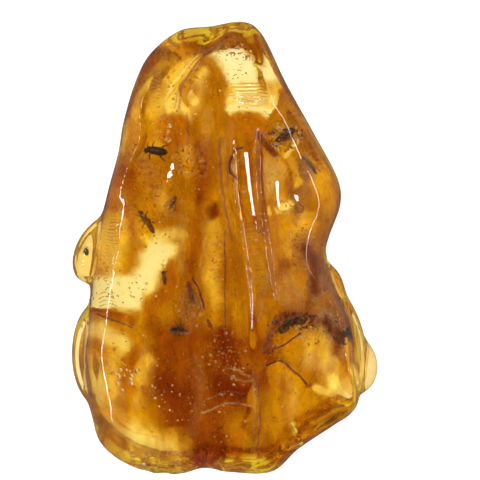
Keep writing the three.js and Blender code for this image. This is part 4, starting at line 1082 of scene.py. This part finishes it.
def wing(length, width, hinge, sweep):
    """A closed thin wing that runs back from its hinge, gently pleated along its veins."""
    along_wing, across_wing = 16, 7
    points = []
    for side in (1, -1):
        for s in np.linspace(0.02, 0.98, along_wing):
            half = width / 2 * math.sin(math.pi * s**0.8) ** 0.7
            for t in np.linspace(-1, 1, across_wing):
                pleat = PLEAT * math.cos(3 * math.pi * t) * math.sin(math.pi * s)
                edge = WING_THICKNESS / 2 * side * (1 - t**4)
                points.append((-length * s, half * t, pleat + edge))
    sheet = along_wing * across_wing
    faces = []
    for i in range(along_wing - 1):
        for k in range(across_wing - 1):
            a, b = i * across_wing + k, (i + 1) * across_wing + k
            faces.append((a, a + 1, b + 1, b))
            faces.append((a + sheet, b + sheet, b + 1 + sheet, a + 1 + sheet))
    rim = list(range(across_wing))
    rim += [i * across_wing + across_wing - 1 for i in range(1, along_wing)]
    rim += [(along_wing - 1) * across_wing + k for k in reversed(range(across_wing - 1))]
    rim += [i * across_wing for i in reversed(range(1, along_wing - 1))]
    for a, b in zip(rim, rim[1:] + rim[:1]):
        faces.append((a, b, b + sheet, a + sheet)[::-1])
    x, y, z = np.array(points).T
    return np.column_stack([*turned(x, y, sweep), z]) + hinge, faces


def eyes(at, gap, size):
    return [body_part((size, size, size), (at[0], side * gap, at[2])) for side in (-1, 1)]


def fly_parts(b, wing_length):
    """The shell and wings of a fly whose body is about b long."""
    rows = [
        [(0.12, 0.03, 0.24), (0.3, 0.24, 0.2), (0.42, 0.44, 0.04)],
        [(0.06, 0.03, 0.24), (0.04, 0.3, 0.2), (-0.08, 0.56, 0.04)],
        [(0.02, 0.03, 0.24), (-0.2, 0.28, 0.2), (-0.5, 0.5, 0.04)],
    ]
    rows = [[tuple(b * side for side in point) for point in row] for row in rows]
    shell = [
        body_part((0.62 * b, 0.22 * b, 0.22 * b), (-0.28 * b, 0, 0.24 * b), 5),
        body_part((0.34 * b, 0.28 * b, 0.3 * b), (0.08 * b, 0, 0.28 * b)),
        body_part((0.22 * b, 0.22 * b, 0.2 * b), (0.28 * b, 0, 0.26 * b)),
        *eyes((0.31 * b, 0, 0.28 * b), 0.07 * b, 0.12 * b),
        *mirrored_legs(rows, 0.07),
    ]
    wings = [
        wing(wing_length, 0.34 * wing_length, (0.1 * b, 0.04 * b, 0.32 * b), -26),
        wing(wing_length, 0.34 * wing_length, (0.1 * b, -0.04 * b, 0.28 * b), 26),
    ]
    return shell, wings


BEETLE = [
    body_part((1.5, 0.95, 0.72), (-0.35, 0, 0.42)),
    body_part((0.76, 0.86, 0.6), (0.5, 0, 0.4)),
    body_part((0.5, 0.46, 0.38), (0.92, 0, 0.36)),
    *eyes((0.98, 0, 0.42), 0.17, 0.16),
    *mirrored_legs([
        [(0.5, 0.05, 0.34), (0.78, 0.56, 0.32), (0.95, 0.92, 0.06)],
        [(0.0, 0.05, 0.34), (0.05, 0.68, 0.34), (-0.1, 1.06, 0.06)],
        [(-0.5, 0.05, 0.34), (-0.72, 0.64, 0.32), (-1.1, 0.96, 0.06)],
    ], 0.15),
    *mirrored_legs([[(0.92, 0.05, 0.36), (1.2, 0.28, 0.44), (1.5, 0.5, 0.4)]], 0.1),
]
ROVE_BEETLE = [
    body_part((1.5, 0.5, 0.4), (-0.6, 0, 0.3), 7),
    body_part((0.76, 0.66, 0.5), (0.1, 0, 0.32)),
    body_part((0.6, 0.54, 0.42), (0.58, 0, 0.32)),
    body_part((0.5, 0.42, 0.36), (0.98, 0, 0.32)),
    *mirrored_legs([
        [(0.55, 0.05, 0.3), (0.8, 0.4, 0.28), (0.98, 0.6, 0.06)],
        [(0.15, 0.05, 0.3), (0.15, 0.46, 0.28), (0.04, 0.72, 0.06)],
        [(0.0, 0.05, 0.3), (-0.3, 0.44, 0.26), (-0.62, 0.66, 0.06)],
    ], 0.1),
]
TERMITE = [
    body_part((1.7, 0.68, 0.62), (-0.8, 0, 0.42), 8),
    body_part((0.96, 0.66, 0.64), (0.1, 0, 0.45), 2),
    body_part((0.64, 0.56, 0.5), (0.66, 0, 0.45)),
    *eyes((0.74, 0, 0.5), 0.2, 0.15),
    *mirrored_legs([
        [(0.3, 0.05, 0.36), (0.62, 0.5, 0.3), (0.8, 0.88, 0.08)],
        [(0.0, 0.05, 0.36), (-0.05, 0.62, 0.3), (-0.2, 1.06, 0.08)],
        [(-0.1, 0.05, 0.36), (-0.5, 0.6, 0.28), (-0.98, 0.94, 0.08)],
    ], 0.12),
    *mirrored_legs([[(0.7, 0.05, 0.46), (1.05, 0.24, 0.52), (1.4, 0.44, 0.46)]], 0.08),
]
TERMITE_WINGS = [wing(3.4, 0.98, (0.25, 0.12, 0.56), -15), wing(3.2, 0.95, (0.2, -0.1, 0.5), 16)]
SPIDER = [
    body_part((0.98, 0.86, 0.74), (-0.5, 0, 0.46)),
    body_part((0.86, 0.66, 0.5), (0.2, 0, 0.36)),
    *rayed_legs(0.2, (38, 74, 112, 142), (0.08, 0.66, 1.2), (0.34, 0.54, 0.08), 0.13),
]
ANT = [
    body_part((0.9, 0.6, 0.56), (-0.74, 0, 0.42), 4),
    body_part((0.4, 0.22, 0.26), (-0.24, 0, 0.38)),
    body_part((0.74, 0.38, 0.4), (0.16, 0, 0.4)),
    body_part((0.6, 0.54, 0.44), (0.68, 0, 0.42)),
    *eyes((0.72, 0, 0.5), 0.2, 0.13),
    *mirrored_legs([
        [(0.3, 0.04, 0.36), (0.52, 0.4, 0.42), (0.72, 0.8, 0.06)],
        [(0.14, 0.04, 0.36), (0.1, 0.48, 0.42), (-0.02, 0.94, 0.06)],
        [(0.0, 0.04, 0.36), (-0.3, 0.46, 0.4), (-0.66, 0.86, 0.06)],
    ], 0.1),
    *mirrored_legs([[(0.78, 0.04, 0.44), (1.0, 0.32, 0.52), (1.3, 0.24, 0.44)]], 0.08),
]
SPRINGTAIL = [
    body_part((1.0, 0.36, 0.34), (-0.16, 0, 0.26), 6),
    body_part((0.42, 0.32, 0.3), (0.38, 0, 0.28)),
    *mirrored_legs([
        [(0.2, 0.03, 0.24), (0.34, 0.2, 0.18), (0.42, 0.34, 0.05)],
        [(-0.1, 0.03, 0.24), (-0.16, 0.22, 0.18), (-0.26, 0.36, 0.05)],
    ], 0.08),
]
MITE = [
    body_part((0.62, 0.5, 0.4), (-0.04, 0, 0.26)),
    body_part((0.3, 0.22, 0.2), (0.28, 0, 0.24)),
    *rayed_legs(0.02, (38, 74, 112, 146), (0.05, 0.32, 0.48), (0.24, 0.26, 0.06), 0.07),
]
LEAFHOPPER = [
    body_part((1.5, 0.52, 0.5), (-0.18, 0, 0.32), 5),
    body_part((0.5, 0.56, 0.44), (0.46, 0, 0.32)),
    *eyes((0.52, 0, 0.36), 0.22, 0.14),
    *mirrored_legs([
        [(0.4, 0.04, 0.28), (0.56, 0.34, 0.24), (0.72, 0.54, 0.06)],
        [(0.1, 0.04, 0.28), (-0.3, 0.44, 0.28), (-0.74, 0.52, 0.06)],
    ], 0.1),
]


# How deep an insect's feet lie in the flow's skin
SINK = 0.4


def laid_in(name, parts, at, heading):
    """One mesh of closed parts, turned to its heading on the flow's skin in place of its plain solid."""
    points, faces, count = [], [], 0
    for part_points, part_faces in parts:
        points.append(part_points)
        faces += [tuple(i + count for i in face) for face in part_faces]
        count += len(part_points)
    x, y, z = np.concatenate(points).T
    x, y = turned(x, y, heading)
    lift = flow_height(*at) - SINK
    placed = np.column_stack([x + at[0], y + at[1], z + lift]) + nodule_shift
    return mesh_piece(name, placed * MM, faces)


MOTTLE_SHADE = 0.45


def dried_chitin(name, colour, gloss):
    """Insect shell: glossy and mottled where it dried."""
    material = new_material(name)
    place = add(material, "ShaderNodeTexCoord").outputs["Object"]
    mottle = add(material, "ShaderNodeTexNoise", {"Vector": place, "Scale": 1 / (0.25 * MM), "Detail": 3})
    dark = [c * MOTTLE_SHADE for c in linear(colour)[:3]] + [1]
    tint = add(material, "ShaderNodeMix", {0: mottle, 6: linear(colour), 7: dark}, data_type="RGBA")
    pitted = add(material, "ShaderNodeTexVoronoi", {"Vector": place, "Scale": 1 / (0.09 * MM)})
    relief = add(material, "ShaderNodeBump", {
        "Height": pitted.outputs["Distance"], "Strength": 0.25, "Distance": 0.03 * MM,
    })
    shader = add(material, "ShaderNodeBsdfPrincipled", {
        "Base Color": tint.outputs[2], "Roughness": gloss, "Normal": relief,
    })
    add(material, "ShaderNodeOutputMaterial", {"Surface": shader})
    return material


def wing_membrane():
    """Insect wing: a film of clear chitin, clouded in patches."""
    material = new_material("wing_membrane")
    film = add(material, "ShaderNodeBsdfTransparent", {"Color": linear("#F0D8A8")})
    body = lit_through(material, linear("#D8C28A"), 0.5)
    place = add(material, "ShaderNodeTexCoord").outputs["Object"]
    grain = add(material, "ShaderNodeTexNoise", {"Vector": place, "Scale": 1 / (0.3 * MM), "Detail": 4})
    cover = add(material, "ShaderNodeMapRange", {
        "Value": grain, "From Min": 0.3, "From Max": 0.7, "To Min": 0.1, "To Max": 0.45,
    })
    both = add(material, "ShaderNodeMixShader", {0: cover, 1: film, 2: body})
    add(material, "ShaderNodeOutputMaterial", {"Surface": both})
    return material


black_shell = dried_chitin("black_chitin", "#3A140C", 0.3)
brown_shell = dried_chitin("brown_chitin", "#7C3A1A", 0.4)
red_shell = dried_chitin("red_brown_chitin", "#A0301A", 0.4)
pale_film = wing_membrane()
midge_shell, midge_wings = fly_parts(1.7, 1.5)
gnat_shell, gnat_wings = fly_parts(2.4, 2.0)
# Each insect: its parts, its wings, where it lies, its heading in degrees, its shell and its finish slot
INSECTS = {
    "beetle": (BEETLE, [], (-7.3, 10.5), 168, black_shell, "insect_black"),
    "rove_beetle": (ROVE_BEETLE, [], (-8.3, 2.8), 112, brown_shell, "insect_brown"),
    "midge": (midge_shell, midge_wings, (-5.6, 5.1), 60, brown_shell, "insect_brown"),
    "mite": (MITE, [], (-14.9, -0.5), 75, black_shell, "insect_black"),
    "leafhopper": (LEAFHOPPER, [], (-6.6, -3.2), 98, brown_shell, "insect_brown"),
    "winged_termite": (TERMITE, TERMITE_WINGS, (-3.6, -4.6), 104, red_shell, "insect_red_brown"),
    "spider": (SPIDER, [], (-4.9, -9.0), 15, black_shell, "insect_black"),
    "springtail": (SPRINGTAIL, [], (-1.1, -8.3), 118, red_shell, "insect_red_brown"),
    "ant": (ANT, [], (1.3, 9.1), 86, brown_shell, "insect_brown"),
    "fungus_gnat": (gnat_shell, gnat_wings, (8.2, 8.6), 122, brown_shell, "insect_brown"),
}
for name, (shell, wings, at, heading, finish, slot) in INSECTS.items():
    creature = laid_in(name + "_shell", shell + wings, at, heading)
    creature.data.materials.append(finish)
    creature.data.materials.append(pale_film)
    shell_faces = sum(len(faces) for _, faces in shell)
    film = np.arange(len(creature.data.polygons)) >= shell_faces
    creature.data.polygons.foreach_set("material_index", film.astype(np.int32))
    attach(creature, "root")
    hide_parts(name)

# Crumbs of bark fell on the flow with the insects. They are dark, fibrous and flaking, torn along their
# fibres, with splinters round them.
BARK_SPLITS = 7
# How finely fibres and tears run along, across and through a lump, and how deep they are
FIBRES, FIBRE_DEPTH = (1.2, 5, 5), 0.3
TEARS, TEAR_DEPTH = (4, 9, 9), 0.16
LUMP_MEAN, LUMP_SEED_STEP = 0.92, 3.7
SPLINTERS, SPLINTER_SIDES, SPLINTER_HEIGHT = 14, 6, 0.42
# A splinter's least and most half length, its bend and tilt, its least and most width, and its taper
SPLINTER_REACH, SPLINTER_BEND, SPLINTER_TILT = (0.2, 0.55), 0.08, 0.2
SPLINTER_WIDTH, SPLINTER_TAPER = (0.05, 0.11), (0.4, 1, 0.3)


def bark_lump(size, at, seed):
    """Places and faces of a lump of bark, torn along its fibres."""
    directions, faces = geodesic_ball(BARK_SPLITS)
    swell = np.full(len(directions), LUMP_MEAN)
    for fineness, rise in ((FIBRES, FIBRE_DEPTH), (TEARS, TEAR_DEPTH)):
        swell += [rise * noise.noise(d * fineness + (seed, 0, 0)) for d in directions]
    return directions * swell[:, None] * np.array(size) / 2 + at, faces


def splinters(count, reach, seed):
    """Places and faces of thin splinters strewn within a reach."""
    dice = np.random.default_rng(seed)
    parts = []
    for _ in range(count):
        middle = dice.uniform(-1, 1, 3) * reach
        turn = dice.uniform(0, math.pi)
        tilt = dice.uniform(-SPLINTER_TILT, SPLINTER_TILT)
        half = np.array([math.cos(turn), math.sin(turn), tilt]) * dice.uniform(*SPLINTER_REACH)
        bend = dice.uniform(-SPLINTER_BEND, SPLINTER_BEND, 3)
        width = dice.uniform(*SPLINTER_WIDTH)
        path = [middle - half, middle + bend, middle + half]
        parts.append(tube(path, [width * share for share in SPLINTER_TAPER], SPLINTER_SIDES))
    return parts


def flaking_bark():
    """Bark: matt and dark, its torn fibres paler than its skin."""
    material = new_material("flaking_bark")
    place = add(material, "ShaderNodeTexCoord").outputs["Object"]
    flakes = add(material, "ShaderNodeTexNoise", {"Vector": place, "Scale": 1 / (0.35 * MM), "Detail": 5})
    paler = add(material, "ShaderNodeMapRange", {"Value": flakes, "From Min": 0.45, "From Max": 0.68})
    tint = add(material, "ShaderNodeMix", {
        0: paler, 6: linear("#2A150A"), 7: linear("#8A5630"),
    }, data_type="RGBA")
    relief = add(material, "ShaderNodeBump", {"Height": flakes, "Strength": 0.6, "Distance": 0.1 * MM})
    shader = add(material, "ShaderNodeBsdfPrincipled", {
        "Base Color": tint.outputs[2], "Roughness": 0.8, "Normal": relief,
    })
    add(material, "ShaderNodeOutputMaterial", {"Surface": shader})
    return material


bark = flaking_bark()
# Each crumb: where it lies, its heading in degrees, its splinters' reach and its lumps' sizes and places
CRUMBS = {
    "bark_crumb_upper": ((5.9, 11.7), 28, (1.1, 0.5, 0.2), [
        ((1.7, 0.8, 0.7), (0, 0, 0.4)), ((1.2, 0.8, 0.64), (0.8, 0.3, 0.4)),
        ((1.1, 0.7, 0.56), (-0.8, -0.25, 0.36)),
    ]),
    "bark_crumb_lower": ((6.3, -8.0), 24, (1.5, 0.6, 0.2), [
        ((2.0, 0.9, 0.7), (0, 0, 0.4)), ((1.6, 0.9, 0.64), (1.1, -0.25, 0.4)),
        ((1.5, 0.9, 0.64), (-1, -0.35, 0.4)),
    ]),
    "bark_crumb_side": ((12.1, -9.6), 40, (0.8, 0.8, 0.2), [
        ((1.6, 1.0, 0.7), (0, 0, 0.4)), ((1.1, 1.3, 0.64), (0.4, -0.6, 0.4)),
        ((1.0, 0.8, 0.56), (-0.5, 0.45, 0.36)),
    ]),
}
for k, (name, (at, heading, reach, lumps)) in enumerate(CRUMBS.items()):
    parts = [bark_lump(size, place, LUMP_SEED_STEP * k + i) for i, (size, place) in enumerate(lumps)]
    parts += [(points + (0, 0, SPLINTER_HEIGHT), faces) for points, faces in splinters(SPLINTERS, reach, k)]
    crumb = laid_in(name + "_flakes", parts, at, heading)
    crumb.data.materials.append(bark)
    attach(crumb, "root")
    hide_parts(name)

# The table top is a plain pale light pad of opal acrylic, which glows a little, so that the resin lights up
# from within as it does against a bright window. It lies just below the nodule's flat spot, and is dim where
# a polished face mirrors it.
TABLE_SIZE = 1.2
TABLE_DROP = 0.02 * MM
TABLE_GLOW, TABLE_GLARE = 0.7, 0.06
table = mesh_piece("table_top", [
    (-TABLE_SIZE, -TABLE_SIZE, -TABLE_DROP), (TABLE_SIZE, -TABLE_SIZE, -TABLE_DROP),
    (TABLE_SIZE, TABLE_SIZE, -TABLE_DROP), (-TABLE_SIZE, TABLE_SIZE, -TABLE_DROP),
], [(0, 1, 2, 3)])


def mirrored_share(owner):
    """1 where a polished face mirrors the room, and 0 where the room is seen or lights something."""
    ray = add(owner, "ShaderNodeLightPath").outputs
    return add(owner, "ShaderNodeMath", {
        0: ray["Is Glossy Ray"], 1: ray["Is Transmission Ray"],
    }, operation="SUBTRACT")


board = new_material("opal_acrylic")
mirrored = mirrored_share(board)
glow = add(board, "ShaderNodeMapRange", {"Value": mirrored, "To Min": TABLE_GLOW, "To Max": TABLE_GLARE})
tone = add(board, "ShaderNodeMix", {
    0: mirrored, 6: linear("#F4F4F2"), 7: linear("#505050"),
}, data_type="RGBA")
board_shader = add(board, "ShaderNodeBsdfPrincipled", {
    "Base Color": tone.outputs[2], "Roughness": 0.9, "Specular IOR Level": 0.0,
    "Emission Color": linear("#FFFDF8"), "Emission Strength": glow,
})
add(board, "ShaderNodeOutputMaterial", {"Surface": board_shader})
table.data.materials.append(board)

# The room is a plain soft studio: even light from all round and three soft boxes, set where the photograph's
# gleams on the ridge and rims call for them.
ROOM_LIGHT, ROOM_GLARE = 0.95, 0.03
world = bpy.data.worlds.new("soft_room")
world.use_nodes = True
room = world.node_tree.nodes["Background"]
room.inputs["Color"].default_value = (1, 1, 1, 1)
strength = add(world, "ShaderNodeMapRange", {
    "Value": mirrored_share(world), "To Min": ROOM_LIGHT, "To Max": ROOM_GLARE,
})
world.node_tree.links.new(strength.outputs[0], room.inputs["Strength"])
bpy.context.scene.world = world

# Each soft box: where it hangs and its size, both in metres, and its power in watts
SOFT_BOXES = {
    "left_strip": ((-0.46, 0.0, 0.05), (0.01, 0.7), 0.65),
    "right_strip": ((0.46, 0.05, 0.05), (0.01, 0.7), 0.5),
    "front_box": ((0.08, 0.105, 0.43), (0.07, 0.1), 0.6),
}
LIGHT_AIM = Vector((0, 0, 0.01))
for name, (at, size, power) in SOFT_BOXES.items():
    light = bpy.data.lights.new(name, "AREA")
    light.shape = "RECTANGLE"
    light.size, light.size_y = size
    light.energy = power
    back = (Vector(at) - LIGHT_AIM).normalized()
    across = Vector((0, 1, 0)).cross(back).normalized()
    facing = Matrix((across, back.cross(across), back)).transposed()
    box = bpy.data.objects.new(name, light)
    box.matrix_world = Matrix.Translation(at) @ facing.to_4x4()
    # A soft box is seen only as a gleam on polished faces
    box.visible_diffuse = False
    box.visible_transmission = False
    bpy.context.collection.objects.link(box)

scene = bpy.context.scene
scene.view_settings.view_transform = "Standard"
scene.cycles.use_denoising = True
scene.cycles.max_bounces = 24
scene.cycles.transmission_bounces = 24
scene.cycles.glossy_bounces = 8
scene.cycles.diffuse_bounces = 4
scene.cycles.transparent_max_bounces = 24
scene.cycles.caustics_refractive = True
scene.cycles.caustics_reflective = True
scene.cycles.sample_clamp_indirect = 10
